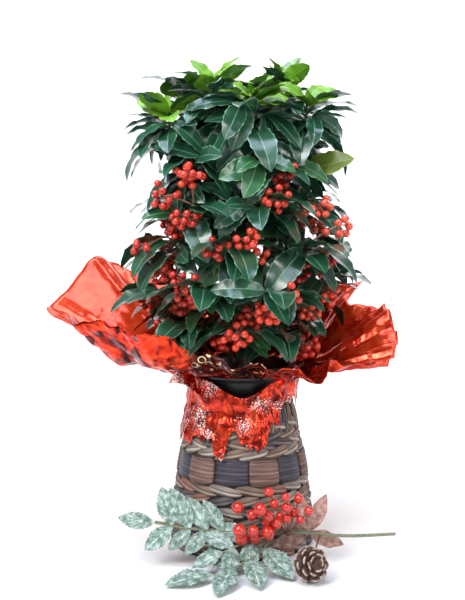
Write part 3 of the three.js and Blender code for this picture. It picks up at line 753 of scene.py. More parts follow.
@dataclass(frozen=True)
class VeinedFinish(Finish):
    """A pressed leaf of frosted plastic, whose veins follow the leaf's own map."""

    vein: str = "#e6f2ee"
    pairs: float = 6.5

    def paint(self, on: Ground) -> None:
        """Links the frosted colour, a pale rib and slanting pale side veins.

        Args:
            on: The material under way. Its map runs across the leaf from 0 to 1, and then along it.
        """
        mottle = on.add("TexNoise", {"Vector": on.solid, "Scale": per(self.grain), "Detail": 3.0})
        base = on.add("ValToRGB", {"Fac": mottle}, stops=self.stops())
        split = on.add("SeparateXYZ", {0: on.source})
        offset = on.add("Math", {0: split, 1: 0.5}, operation="SUBTRACT")
        away = on.add("Math", {0: offset}, operation="ABSOLUTE")
        run = on.add("Math", {0: away, 1: -0.9, 2: split.node.outputs[1]}, operation="MULTIPLY_ADD")
        count = on.add("Math", {0: run, 1: self.pairs}, operation="MULTIPLY")
        wave = on.add("Math", {0: count, 1: 0.5}, operation="PINGPONG")
        vein = on.add("MapRange", {0: wave, 1: 0.1, 2: 0.02, 4: 0.8})
        rib = on.add("MapRange", {0: away, 1: 0.05, 2: 0.025})
        pale = on.add("Math", {0: vein, 1: rib}, operation="MAXIMUM")
        frost = on.add("MapRange", {0: mottle, 1: 0.36, 2: 0.6})
        share = on.add("Math", {0: pale, 1: frost}, operation="MULTIPLY")
        inputs = {0: share, 6: base, 7: colour(self.vein)}
        on.link(on.add("Mix", inputs, 2, data_type="RGBA"), "Base Color")


@dataclass(frozen=True)
class GauzeFinish(Finish):
    """Stiff gauze: crossed threads, drawn 1.2 mm apart so that they show at the picture's size."""

    def height(self, on: Ground) -> Socket:
        """Adds two sets of crossed threads.

        Args:
            on: The material under way.

        Returns:
            Their height, as a share of the relief.
        """
        inputs = {"Vector": on.source, "Scale": per(7.5), "Distortion": 0.6}
        one, other = (on.add("TexWave", inputs, 1, bands_direction=axis) for axis in ("X", "Z"))
        return on.add("Math", {0: one, 1: other}, operation="ADD")


@dataclass(frozen=True)
class StrandFinish(Finish):
    """Dried leaf fibre that runs along a strand, painted darker towards the strand's rims as shade where it
    turns into the gaps.
    """

    # The distance from the middle, in millimetres, at which the painted shade towards the rims is darkest.
    rim: float = 7.0

    def paint(self, on: Ground) -> None:
        """Links the fibre's colours, with painted shade darkening them towards the rims.

        Args:
            on: The material under way. Its map is in metres along the strand, and then across it.
        """
        across = on.add("SeparateXYZ", {0: on.source}, 1)
        away = on.add("Math", {0: across}, operation="ABSOLUTE")
        # Painted shade: darker towards the rims.
        shade = on.add("MapRange", {0: away, 1: 0.5 * self.rim * MM, 2: self.rim * MM, 3: 0.0, 4: -0.2})
        fibre = on.add("TexNoise", {"Vector": on.spots, "Scale": per(self.grain), "Detail": 3.0})
        share = on.add("Math", {0: fibre, 1: shade}, operation="ADD")
        on.link(on.add("ValToRGB", {"Fac": share}, stops=self.stops()), "Base Color")


# Dried bulrush leaf, twisted by hand: dull and fibrous, so its folds show by shade and not by shine.
STRANDS = tuple(
    StrandFinish(f"dried bulrush strand {name}", codes, 0.6, 3.0, (0.06, 1.0, 1.0), 1.5, 2.2, own_map=True)
    for name, codes in {
        "grey": ("#3f3630", "#85776c", "#c4b6a8"),
        "brown": ("#33271e", "#735d4d", "#ad9682"),
        "dark": ("#1e191b", "#484040", "#7c6f6a"),
        "russet": ("#42291f", "#805848", "#b08675"),
    }.items()
)
# The same leaf laid flat in blocks, every other one darker and set back; each is painted darker towards its
# top and bottom as shade.
BLOCKS = tuple(
    StrandFinish(
        f"flat bulrush {name}", codes, roughness, 2.6, (0.05, 1.0, 1.0), 1.2, 2.0, own_map=True, rim=17.5
    )
    for name, roughness, codes in (
        ("russet", 0.55, ("#33231c", "#6f5246", "#9a7767")),
        ("stained", 0.45, ("#131015", "#322b36", "#5c505c")),
    )
)
# Woven back of the basket, painted nearly black as the shade in the gaps between strands, so they look deep.
SHADE_LINING = Finish("woven lining", ("#1c1613", "#2e2520"), 0.9, 6.0, relief=0.6, relief_grain=3.0)
# Moulded polypropylene of a grower's pot: black with a faint satin gloss.
POT_PLASTIC = Finish(
    "moulded black polypropylene", ("#0d0c0b", "#161412"), 0.42, 40.0, relief=0.05, relief_grain=1.5
)
# Damp peat: dark crumbs that take no shine.
PEAT = Finish("peat", ("#1b120c", "#33241a", "#4a3626"), 0.95, 5.0, relief=1.2, relief_grain=3.0)
# Metallised plastic film: tinted mirror, so it shows lights, fruit and dark leaves in red; its ramp's near
# black is for painted reflections.
FILM_COLLAR = FilmFinish(
    "metallised red film", ("#3a0803", "#ae1c09", "#de3411", "#ea4c24"), 0.14, 30.0, relief=3.2,
    metallic=0.9, coat=0.15, coat_roughness=0.06, design=FilmPrint.GOLD_RINGS,
)
# The same film where white flock is glued on: its speckles are dull.
FILM_APRON = FilmFinish(
    "flocked red film", ("#7c1308", "#c92c13", "#e24420"), 0.22, 22.0, relief=2.0, metallic=0.72,
    coat=0.15, facet=15.0,
)
# Young bark of a shrub: grey-brown, dull, with fine cracks.
BARK = Finish("shrub bark", ("#4a3a2e", "#6b5746", "#8a7460"), 0.85, 5.0, (1.0, 1.0, 0.4), 0.5, 1.8)
# Green shoots that have begun to turn woody.
SHOOT = Finish("green shoot", ("#3f4a2c", "#5e6138", "#776a4a"), 0.6, 12.0, relief=0.1, relief_grain=1.5)
# Fruit stalks: thin, pinkish brown.
STALK = Finish("fruit stalk", ("#8a5244", "#a9705c"), 0.6, 10.0)


def waxed_leaf(name: str, codes: Sequence[str], blade: float = 0.3, rib: float = 0.4) -> tuple[Finish, ...]:
    """Makes a waxed leaf: an even green under a clear gloss, which shows the lamps as a pale sheen.

    Args:
        name: What tells the tint from the others.
        codes: Two greens of the blade, and two paler ones of its rib and edge. The pale edge is the leaf's
            own paler margin with a painted sheen on its teeth.
        blade: The blade's roughness. A soft leaf has less wax.
        rib: The roughness of its rib and edge.

    Returns:
        The finishes of the blade, and of its rib and edge.
    """
    return tuple(
        Finish(
            f"waxed leaf {name}{part}", greens, roughness, 34.0, coat=0.85 if roughness < 0.45 else 0.3,
            coat_roughness=0.23, relief=0.7, relief_grain=7.0,
        )
        for part, greens, roughness in (("", codes[:2], blade), (" rib", codes[2:], rib))
    )


class Tint(Enum):
    """The tints of leaves, each with its blade's finish and that of its rib and edge."""

    # The rib and edge greens are paler: the edge's is partly the leaf's own margin and partly a painted sheen
    # on its teeth.
    DEEP = waxed_leaf("deep", ("#163e29", "#25573a", "#5d8a6c", "#6b977a"))
    MID = waxed_leaf("mid", ("#235230", "#356b3e", "#69955f", "#79a26e"))
    FRESH = waxed_leaf("fresh", ("#3c7024", "#548c2c", "#749c44", "#84a850"))
    YOUNG = waxed_leaf("young", ("#558a16", "#78ab22", "#8ab03a", "#98bc48"), 0.5, 0.5)
    # Olive paints the light that shines through the one leaf lit from behind.
    OLIVE = waxed_leaf("olive", ("#5c7026", "#748430", "#84904a", "#929c54"), 0.45, 0.45)


# Ripe fruit skin: thin wax over juicy flesh, so small bright lights on a warm red.
FRUIT = tuple(
    Finish(f"fruit skin {name}", codes, 0.2, 14.0, coat=0.5, subsurface=0.12)
    for name, codes in {
        "ripe": ("#b81d10", "#cf2d18"),
        "bright": ("#cc2b16", "#de3f24"),
        "salmon": ("#d6442a", "#e65c40"),
    }.items()
)
# The dry spot at a berry's end.
SCAR = Finish("dried flower scar", ("#3a1812",), 0.8)
# Pressed plastic leaf with white frost on its veins: half dull.
FROSTED = VeinedFinish(
    "frosted plastic leaf", ("#536c5d", "#7a9383", "#b0c1b5"), 0.45, 5.0, relief=0.3, coat=0.2,
    coat_roughness=0.3, own_map=True,
)
# Lacquer over foam berries: a hard clear gloss.
LACQUER = Finish(
    "lacquered berry", ("#bf190a", "#d42d14"), 0.16, 12.0, coat=0.8, coat_roughness=0.05, subsurface=0.05
)
# Wire in crepe paper: dull, mottled green and brown.
WIRE = Finish(
    "paper-wrapped wire", ("#5d6b4f", "#7c8468", "#8d7763"), 0.8, 4.0, relief=0.3, relief_grain=1.5
)
DARK_WIRE = Finish("brown wrapped wire", ("#4a2f26", "#6a4638"), 0.7, 4.0)
# Stiff dyed gauze: its fibres light up at grazing angles.
GAUZE = GauzeFinish("stiff gauze", ("#8a5f52", "#ab8071", "#c9a294"), 0.7, 6.0, relief=0.4, sheen=0.4)
# A dry pine cone: dull brown scales with paler, frosted tips.
SCALE_WOOD = Finish("cone scale", ("#33211a", "#4f372b", "#654a3b"), 0.8, 3.0, relief=0.4, relief_grain=1.2)
SCALE_TIP = Finish(
    "frosted scale tip", ("#7c6454", "#a58d7c", "#cdbcae"), 0.75, 2.5, relief=0.2, relief_grain=1.0
)
# Painted studio floor: pale and dull.
STUDIO_PAINT = Finish("studio floor paint", ("#f1f0ee", "#f4f3f1"), 0.8, 400.0)


# The holder.


@dataclass
class Basket:
    """The woven basket: twisted rows, a row of blocks and shoulder strands, worked round a lining painted
    dark as shade.
    """

    height: float = 170.0
    foot_radius: float = 84.0
    mouth_radius: float = 57.5
    swell: float = 1.88
    floor: float = 5.0
    foot_rows: int = 7
    foot_top: float = 80.0
    block_top: float = 109.0
    upper_rows: int = 4
    upper_top: float = 146.0
    strand_length: float = 33.0
    strand_depth: float = 4.2
    strand_widths: tuple[float, float] = (6.2, 7.2)
    slants: tuple[float, float] = (-3.4, 4.4)
    blocks: int = 12
    block_turn: float = -0.32
    block_height: float = 15.6
    shoulder_strands: int = 38
    shoulder_height: float = 148.0
    rim_strands: int = 26
    rim_height: float = 166.5
    seed: int = 41

    def radius(self, height: Amount) -> Array:
        """The outer radius at heights."""
        drop = np.clip(np.asarray(height, float) / self.height, 0, 1) ** self.swell
        return self.foot_radius - (self.foot_radius - self.mouth_radius) * drop

    def strand_stamp(self) -> Stamp:
        """Makes one strand: an almond that tapers to both ends, with the folds of a twisted leaf.

        Returns:
            A stamp with its length on X, its width on Y and its depth on Z, each from -1 to 1.
        """
        shape = rod(12, 9)
        x, y, height = corners_of(shape).T
        run, angle = height * 2 - 1, np.arctan2(y, x)
        taper = np.clip(1 - np.abs(run) ** 2.6, 0.02, 1) ** 0.6
        size = taper * (1 - 0.26 * np.abs(pleat(angle * 2.5 + run * 2.6)))
        move_corners(shape, np.stack([run, np.sin(angle) * size, np.cos(angle) * size], 1))
        bmesh.ops.recalc_face_normals(shape, faces=shape.faces)
        return Stamp.take(shape, lambda c: np.stack([c[:, 0] * 16, np.arctan2(c[:, 1], c[:, 2]) * 5], 1) * MM)

    def lay(
        self, stamp: Stamp, azimuth: float, height: float, size: tuple[float, float, float], slant: float,
        upright: bool = False, sink: float = 0.0,
    ) -> Array:
        """Wraps a strand or block round the basket.

        Args:
            stamp: The strand, with its length on X.
            azimuth: Its middle, in radians.
            height: The height of its middle.
            size: Half its length, width and depth.
            slant: How much higher its leading end is.
            upright: Whether its length runs up.
            sink: How far it is set in.

        Returns:
            The places of its corners.
        """
        run, across, out = stamp.corners.T * np.array(size)[:, None]
        share = stamp.corners[:, 0]
        if upright:
            run, across = slant * share - across, run
            slant = 0.0
        rise = np.maximum(height + across + slant * share, LOWEST)
        level = self.radius(rise) + 0.2 - size[2] - sink
        angle = azimuth + run / self.radius(height)
        radius = level + out - (0.6 if upright else 1.6) * share**2
        return np.stack([radius * np.cos(angle), radius * np.sin(angle), rise], 1)

    def row(self, batch: Batch, stamp: Stamp, height: float, number: int, random: Random) -> None:
        """Lays one twisted row.

        Args:
            batch: Takes the strands.
            stamp: The strand.
            height: The row's middle height.
            number: Its number: odd rows slant the other way and are staggered.
            random: The stream of numbers.
        """
        odd = number % 2
        girth = math.tau * float(self.radius(height))
        count = round(girth / (self.strand_length * 0.86))
        for k in range(count):
            azimuth = math.tau * (k + 0.5 * odd + 0.16 * random()) / count
            slant = self.slants[odd] + 2.0 * (random() - 0.5)
            half = girth / count * lerp(0.64, 0.84, random())
            size = (half, lerp(*self.strand_widths, random()), self.strand_depth)
            sink = 1.3 * random()
            tint = (0, 0, 1, 1, 1, 2, 3)[int(random() * 7)]
            rise = height + 1.8 * (random() - 0.5)
            batch.add(stamp, self.lay(stamp, azimuth, rise, size, slant, sink=sink), tint)

    def weave(self) -> None:
        """Makes all strands as one piece."""
        batch, random, stamp = Batch(), stream(self.seed), self.strand_stamp()
        pitch = self.foot_top / self.foot_rows
        for k in range(self.foot_rows):
            self.row(batch, stamp, pitch * (k + 0.5) + (1.2 if k == 0 else 0), k, random)
        pitch = (self.upper_top - self.block_top) / self.upper_rows
        for k in range(self.upper_rows):
            self.row(batch, stamp, self.block_top + pitch * (k + 0.5), k + 1, random)
        for k in range(self.shoulder_strands):
            azimuth = math.tau * (k + 0.4 * random()) / self.shoulder_strands
            size = (lerp(17, 20, random()), lerp(5.4, 6.8, random()), 2.8)
            height = self.shoulder_height + 2 * random()
            places = self.lay(stamp, azimuth, height, size, 2.5, True, 1.2 * random())
            batch.add(stamp, places, int(random() * 4))
        for k in range(self.rim_strands):
            azimuth = math.tau * k / self.rim_strands
            places = self.lay(stamp, azimuth, self.rim_height, (10, 3.4, 2.6), 1.5, sink=0.4)
            batch.add(stamp, places, k % 2)
        piece_of(batch.mesh("basket_strands"), "woven_strand", STRANDS, "basket")

    def block_row(self) -> None:
        """Makes the row of flat blocks, every other one set back and darker."""
        shape = pillow(9, 5.0)
        places = corners_of(shape)
        ridges = np.abs(np.sin((places[:, 1] + 0.12 * places[:, 0]) * math.pi * 2.2))
        places[:, 2] *= 0.86 + 0.14 * ridges**0.7
        move_corners(shape, places)
        stamp = Stamp.take(shape, lambda c: c[:, :2] * [17, 16] * MM)
        batch, random = Batch(), stream(self.seed + 1)
        middle = (self.foot_top + self.block_top) / 2
        width = math.tau * float(self.radius(middle)) / self.blocks
        for k in range(self.blocks):
            back = k % 2
            azimuth = math.tau * (k + self.block_turn) / self.blocks
            size = (width * (0.54 if back else 0.47), self.block_height + 0.6 * random(), 3.6)
            places = self.lay(stamp, azimuth, middle, size, 0.8 * (random() - 0.5), sink=2.4 * back)
            batch.add(stamp, places, back)
        piece_of(batch.mesh("basket_blocks"), "woven_strand", BLOCKS, "basket")

    def lining(self) -> None:
        """Makes the wall and floor behind the strands, painted dark as the shade in the gaps."""
        heights = np.linspace(0.4, self.height - 1, 18)
        outside = [(float(self.radius(z)) - self.strand_depth - 0.6, float(z)) for z in heights]
        inside = [(radius - 1.6, z) for radius, z in reversed(outside) if z > self.floor]
        shape = turned([(0, 0.4), *outside, *inside, (0, self.floor)])
        piece_of(mesh_of(shape, "basket_lining"), "woven_strand", (SHADE_LINING,), "basket")

    def build(self) -> None:
        """Makes the basket's pieces."""
        self.lining()
        self.weave()
        self.block_row()


@dataclass
class GrowersPot:
    """The plain black pot in the basket's mouth."""

    bottom: float = 95.0
    top: float = 205.0
    rim_height: float = 12.0
    rim_radius: float = 60.0
    neck_radius: float = 56.5
    mouth_radius: float = 52.55
    mouth_height: float = 170.0
    wall: float = 1.6
    base: float = 1.8
    roll: float = 0.9

    def radius(self, height: float) -> float:
        """The wall's outer radius at a height below the rim."""
        rim_foot = self.top - self.rim_height
        return lerp(self.neck_radius, self.mouth_radius, (rim_foot - height) / (rim_foot - self.mouth_height))

    def build(self) -> None:
        """Turns the pot with a rolled rim and a stiffening step under it."""
        rim_foot, floor = self.top - self.rim_height, self.bottom + self.base
        outer, inner, foot = self.rim_radius, self.neck_radius - self.wall, self.radius(self.bottom)
        out, up = outer - self.roll, self.top - self.roll
        angles = np.linspace(math.pi / 2, -math.pi / 2, 7)
        rolled = [(out + self.roll * math.sin(a), up + self.roll * math.cos(a)) for a in angles]
        profile = [
            (0, self.bottom), (foot - 1, self.bottom), (foot, self.bottom + 1),
            (self.radius(rim_foot - 6), rim_foot - 6), (self.radius(rim_foot - 5) + 0.5, rim_foot - 5),
            (self.neck_radius + 0.4, rim_foot), (outer - 0.3, rim_foot + 0.6), (outer, rim_foot + 1.2),
            *rolled, (inner + 0.4, self.top - 0.4), (inner, self.top - 1.4), (inner, rim_foot),
            (self.radius(floor) - self.wall, floor), (0, floor),
        ]
        piece_of(mesh_of(turned(profile, 128), "growers_pot"), "pot_plastic", (POT_PLASTIC,), "nursery_pot")


@dataclass
class PeatFill:
    """The peat that fills the pot, with crumbs on its crowned top."""

    pot: GrowersPot
    top: float = 190.0
    crown_rise: float = 3.0
    crumbs: int = 420
    crumb_sizes: tuple[float, float] = (0.7, 2.2)
    trunk_room: float = 10.0
    seed: int = 23

    def build(self) -> None:
        """Makes the fill and its crumbs."""
        low = self.pot.bottom + self.pot.base + GAP
        edge = self.top - self.crown_rise
        foot, rim = (self.pot.radius(height) - self.pot.wall - GAP - 0.1 for height in (low, edge))
        rings = [(rim * s, edge + self.crown_rise * (1 - s * s)) for s in np.linspace(1, 0, 22)]
        shape = turned([(0, low), (foot, low), *rings], 72)
        places = corners_of(shape)
        top = places[:, 2] > edge - 1
        places[top, 2] += roughen(places[top], 5.0, 0.7) - 0.4
        move_corners(shape, places)
        piece_of(mesh_of(shape, "peat_fill"), "peat", (PEAT,), "soil")
        crumb = bmesh.new()
        bmesh.ops.create_icosphere(crumb, subdivisions=1, radius=1)
        stamp, batch, random = Stamp.take(crumb), Batch(), stream(self.seed)
        for _ in range(self.crumbs):
            out, turn = rim * 0.97 * math.sqrt(random()), math.tau * random()
            size = lerp(*self.crumb_sizes, random() ** 2) * np.array([1, lerp(0.6, 1, random()), 0.7])
            height = edge + self.crown_rise * (1 - (out / rim) ** 2) - 0.2
            if out + size[0] < rim and out > self.trunk_room:
                place = polar(math.degrees(turn), out, height)
                batch.put(stamp, place, polar(360 * random(), 1, 2 * random()), size)
        piece_of(batch.mesh("peat_crumbs"), "peat", (PEAT,), "soil")


@dataclass
class FilmWrap:
    """The red film: a collar that flares out over the basket, an apron below it and a loose flap.

    The edge rows give azimuth, reach, height and curl. The apron rows give azimuth and lower edge.
    """

    basket: Basket
    pot: GrowersPot
    neck_radius: float = 62.0
    neck_height: float = 196.0
    thick: float = 0.35
    folds: int = 17
    fold_depth: float = 3.5
    clearance: float = 8.0
    apron_radius: float = 61.6
    apron_stand: float = 1.0
    apron_pleats: int = 16
    apron_dip: float = 20.0
    dip_width: float = 27.0
    lip_rise: float = 12.0
    edge: tuple[tuple[float, float, float, float], ...] = (
        (7, 170, 268, 4), (18, 132, 266, 4), (29, 172, 296, 0), (58, 138, 262, 6), (88, 164, 280, 0),
        (118, 140, 268, 8), (149, 218, 316, 4), (171, 238, 256, 6), (183, 176, 236, 8), (196, 204, 232, 34),
        (224, 158, 221, 34), (246, 106, 213, 8), (270, 116, 206, 0), (290, 112, 210, 2), (308, 138, 204, 0),
        (322, 126, 214, 4), (340, 172, 210, 0), (354, 180, 236, 0),
    )
    apron_edge: tuple[tuple[float, float], ...] = (
        (0, 166), (45, 146), (75, 126), (105, 142), (140, 122), (180, 128), (215, 122), (236, 132),
        (252, 114), (262, 136), (280, 116), (302, 146), (322, 166),
    )
    flap_top: Curve = Curve(polar(206, 64, 205), polar(212, 80, 215), polar(222, 92, 216))
    flap_low: Curve = Curve(polar(222, 63.5, 172), polar(224, 86, 196), polar(224, 112, 193))

    def height(self, azimuth: Array, share: Array) -> Array:
        """Works out the height of the collar's middle surface.

        Args:
            azimuth: Azimuths in degrees.
            share: Shares of the way from the neck to the edge.

        Returns:
            The heights.
        """
        _, height, curl = around(self.edge, azimuth)
        tip = np.maximum((share - 0.62) / 0.38, 0)
        fold = np.cos(np.radians(azimuth) * self.folds) * self.fold_depth * share
        return self.neck_height + (height - self.neck_height) * share**1.4 + curl * tip * tip + fold

    def below(self, points: Array) -> bool:
        """Tells whether all points are above the collar and the pot, with the clearance between.

        Args:
            points: The points.

        Returns:
            True if the film is below every point.
        """
        radius = np.hypot(points[:, 0], points[:, 1])
        azimuth = np.degrees(np.arctan2(points[:, 1], points[:, 0]))
        reach = around(self.edge, azimuth)[0]
        span = np.maximum(radius - self.neck_radius, 0) / (reach - self.neck_radius)
        over = self.height(azimuth, np.minimum(span**0.8, 1)) + self.clearance
        floor = np.where(radius > reach + 12, -np.inf, over)
        floor = np.where(radius < self.neck_radius + 2, self.pot.top + self.clearance, floor)
        return bool((points[:, 2] > floor).all())

    def collar_at(self, u: Array, v: Array) -> Array:
        """Gives places on the collar: the plain flare of the part's source with sharp pleats and creases.

        Args:
            u: Shares round it.
            v: Shares out from its neck.

        Returns:
            The places.
        """
        azimuth, turn = u * 360, u * math.tau
        reach = around(self.edge, azimuth)[0]
        radius = self.neck_radius + (reach - self.neck_radius) * v**1.25
        height = self.height(azimuth, v) + self.lip_rise * bell(azimuth, 262, 25) * v
        places = np.stack([radius * np.cos(turn), radius * np.sin(turn), height], 1)
        left, right = bell(azimuth, 158, 24), bell(azimuth, 350, 26)
        folds = pleat(turn * 57 + 1.2 * np.sin(turn * 5)) * 2.4 + pleat(turn * 101 + v * 2) * 1.0
        ridges = 2.2 - np.abs(roughen(places, 30, 9.0, 4.1)) + roughen(places, 11, 2.4, 7.7)
        ridges = ridges * (1 - 0.8 * left) * (1 - 0.6 * right)
        places[:, 2] += folds * (0.3 + 1.3 * right) * ease(v, 0.05, 0.9) + ridges * ease(v, 0.02, 0.35)
        return places

    def apron_at(self, u: Array, v: Array) -> Array:
        """Gives places on the apron: it hangs over the shoulder in pleats and ends in points.

        Args:
            u: Shares round it.
            v: Shares down from its top.

        Returns:
            The places.
        """
        azimuth, turn = u * 360, u * math.tau
        top = self.neck_height - 1 - self.apron_dip * bell(azimuth, 270, self.dip_width)
        low = around(self.apron_edge, azimuth)[0]
        low = low - 5 * pleat(turn * 19) - 3 * pleat(turn * 47 + 1) + 3 * np.sin(turn * 7)
        height = lerp(top, low, v)
        stand = np.maximum(self.apron_radius, self.basket.radius(height) + self.apron_stand)
        flat = np.stack([stand * np.cos(turn), stand * np.sin(turn), height], 1)
        creases = np.abs(roughen(flat, 15, 3.4)) + np.abs(roughen(flat, 7, 1.4, 3.3))
        creases = (creases + 0.25 * (1 + pleat(turn * 61 + 3 * v))) * ease(v, 0, 0.25)
        radius = stand + 1 + np.cos(turn * self.apron_pleats) + creases
        return np.stack([radius * np.cos(turn), radius * np.sin(turn), height], 1)

    def flap_at(self, u: Array, v: Array) -> Array:
        """Gives places on the loose corner of film that hangs out under the left lobe.

        Args:
            u: Shares along it.
            v: Shares down it.

        Returns:
            The places.
        """
        places = lerp(self.flap_top.at(u), self.flap_low.at(u), v[:, None])
        places[:, 1] -= 3 * np.sin(u * 7 + v * 4) * v + roughen(places, 14, 3.0)
        return places

    def build(self) -> None:
        """Makes the film's sheets and gives each its thickness."""
        for name, node, across, along, place, finish in (
            ("film_collar_sheet", "film_collar", 480, 40, self.collar_at, FILM_COLLAR),
            ("film_apron_sheet", "film_apron", 480, 22, self.apron_at, FILM_APRON),
            ("film_flap_sheet", "film_apron", 28, 20, self.flap_at, FILM_APRON),
        ):
            made = piece_of(mesh_of(field_of(across, along, place), name), "film", (finish,), node)
            wall = made.modifiers.new("film thickness", "SOLIDIFY")
            wall.thickness = self.thick * MM
            wall.offset = 0


# The plant.


class Kind(Enum):
    """What a marked point stands for in the tests of clearance."""

    LIMB = 0
    TWIG = 1
    LEAF = 2
    FRUIT = 3
    STALK = 4


class Gaps(NamedTuple):
    """The least distances from marks, in the order of their kinds."""

    limb: float = 0.0
    twig: float = 0.0
    leaf: float = 0.0
    fruit: float = 0.0
    stalk: float = 0.0


@dataclass
class Leaf:
    """One leaf: where it starts, how it is turned and bent, its size and its tint."""

    base: Array
    heading: Array
    normal: Array
    bend: float
    length: float
    width: float
    tint: Tint = Tint.DEEP

    @classmethod
    def turned_by(
        cls, base: Array, azimuth: float, rise: float, roll: float, bend: float, length: float, width: float
    ) -> "Leaf":
        """Makes a leaf from its angles in radians.

        Args:
            base: Where it starts.
            azimuth: Where it points.
            rise: How steeply it rises.
            roll: How far it is rolled about its rib.
            bend: How far it turns down.
            length: Its length.
            width: Its greatest width.

        Returns:
            The leaf.
        """
        level, turn = math.cos(rise), (math.cos(azimuth), math.sin(azimuth))
        heading = np.array([level * turn[0], level * turn[1], math.sin(rise)])
        upright = np.array([-math.sin(rise) * turn[0], -math.sin(rise) * turn[1], level])
        side = np.array([-turn[1], turn[0], 0.0])
        return cls(base, heading, upright * math.cos(roll) + side * math.sin(roll), bend, length, width)

    def places(self, share: Array, across: Array, lift: Array) -> Array:
        """Gives places on or over the bent blade.

        Args:
            share: Shares of its length.
            across: Distances from the rib.
            lift: Distances above the blade.

        Returns:
            The places.
        """
        turn = (self.bend * share)[:, None]
        reach = self.length / self.bend
        middle = self.base + self.heading * np.sin(turn) * reach - self.normal * (1 - np.cos(turn)) * reach
        normal = self.normal * np.cos(turn) + self.heading * np.sin(turn)
        side = np.cross(self.heading, self.normal)
        return middle + side * across[:, None] + normal * lift[:, None]

    def marks(self, shares: Sequence[float], steps: Sequence[float]) -> Array:
        """Gives the points that stand for the leaf in the tests of clearance.

        Args:
            shares: Shares of its length.
            steps: Shares of its half width.

        Returns:
            The points.
        """
        share, step = (grid.ravel() for grid in np.meshgrid(shares, steps, indexing="ij"))
        half = self.width / 2 * np.sin(math.pi * share**0.92) ** 0.85
        return self.places(share, step * half, np.zeros_like(share))


@dataclass
class Umbel:
    """A bunch of fruit: its stalk from root to hub, and the middles of its berries."""

    root: Array
    hub: Array
    berries: list[Array]

    def stalk_marks(self) -> list[Array]:
        """The hub and the middle of the stalk."""
        return [self.hub, (self.root + self.hub) / 2]


@dataclass
class Limb:
    """The trunk or a bough: a tapering limb along a curve."""

    name: str
    curve: Curve
    radii: tuple[float, float]


@dataclass
class Mass:
    """A mass of foliage, or a finer twig of one: its stem, and what grows on it."""

    name: str
    curve: Curve
    azimuth: float
    random: Random
    leaves: int = 0
    umbels: int = 0
    crown: bool = False
    finer: bool = False
    tint: Tint = Tint.DEEP
    blades: list[Leaf] = field(default_factory=list)
    fruit: list[Umbel] = field(default_factory=list)


class Thicket:
    """Everything that has grown, as marked points with their owner and kind."""

    REACH = 12.0
    ROOM = 80000

    def __init__(self) -> None:
        """Starts with no marks."""
        self.places = np.zeros((self.ROOM, 3))
        self.owners = np.zeros(self.ROOM, int)
        self.kinds = np.zeros(self.ROOM, int)
        self.names: dict[str, int] = {}
        self.count = 0

    def add(self, points: Sequence[Array], owner: str, kind: Kind) -> None:
        """Marks points.

        Args:
            points: The points.
            owner: The limb or mass that they belong to.
            kind: What they stand for.
        """
        if len(points):
            spots = slice(self.count, self.count + len(points))
            self.places[spots] = points
            self.owners[spots] = self.names.setdefault(owner, len(self.names))
            self.kinds[spots] = kind.value
            self.count = spots.stop

    def clear(self, points: Sequence[Array], owner: str, far: Gaps, own: Gaps = Gaps()) -> bool:
        """Tells whether points keep their distance from all marks.

        Args:
            points: The points.
            owner: The limb or mass that they belong to.
            far: The gaps to the marks of others.
            own: The gaps to the owner's own marks.

        Returns:
            True if no mark is too near.
        """
        points = np.asarray(points)
        places = self.places[: self.count]
        near = ((places > points.min(0) - self.REACH) & (places < points.max(0) + self.REACH)).all(1)
        limits = np.array([far, own])
        mine = self.owners[: self.count][near] == self.names.get(owner, -1)
        limit = limits[mine.astype(int), self.kinds[: self.count][near]]
        gaps = ((points[:, None] - places[near][None]) ** 2).sum(2)
        return not bool((gaps < (limit * limit)[None]).any())

    def room(self, place: Array) -> float:
        """The distance from a place to the nearest mark."""
        return float(np.sqrt(((self.places[: self.count] - place) ** 2).sum(1).min()))

    def within(self, points: Array, distance: float) -> bool:
        """Tells whether each point has a marked leaf within a distance.

        Args:
            points: The points.
            distance: The distance.

        Returns:
            True if none is farther out.
        """
        leaves = self.places[: self.count][self.kinds[: self.count] == Kind.LEAF.value]
        near = ((leaves > points.min(0) - distance) & (leaves < points.max(0) + distance)).all(1)
        if not near.any():
            return False
        gaps = ((points[:, None] - leaves[near][None]) ** 2).sum(2).min(1)
        return bool((gaps < distance * distance).all())


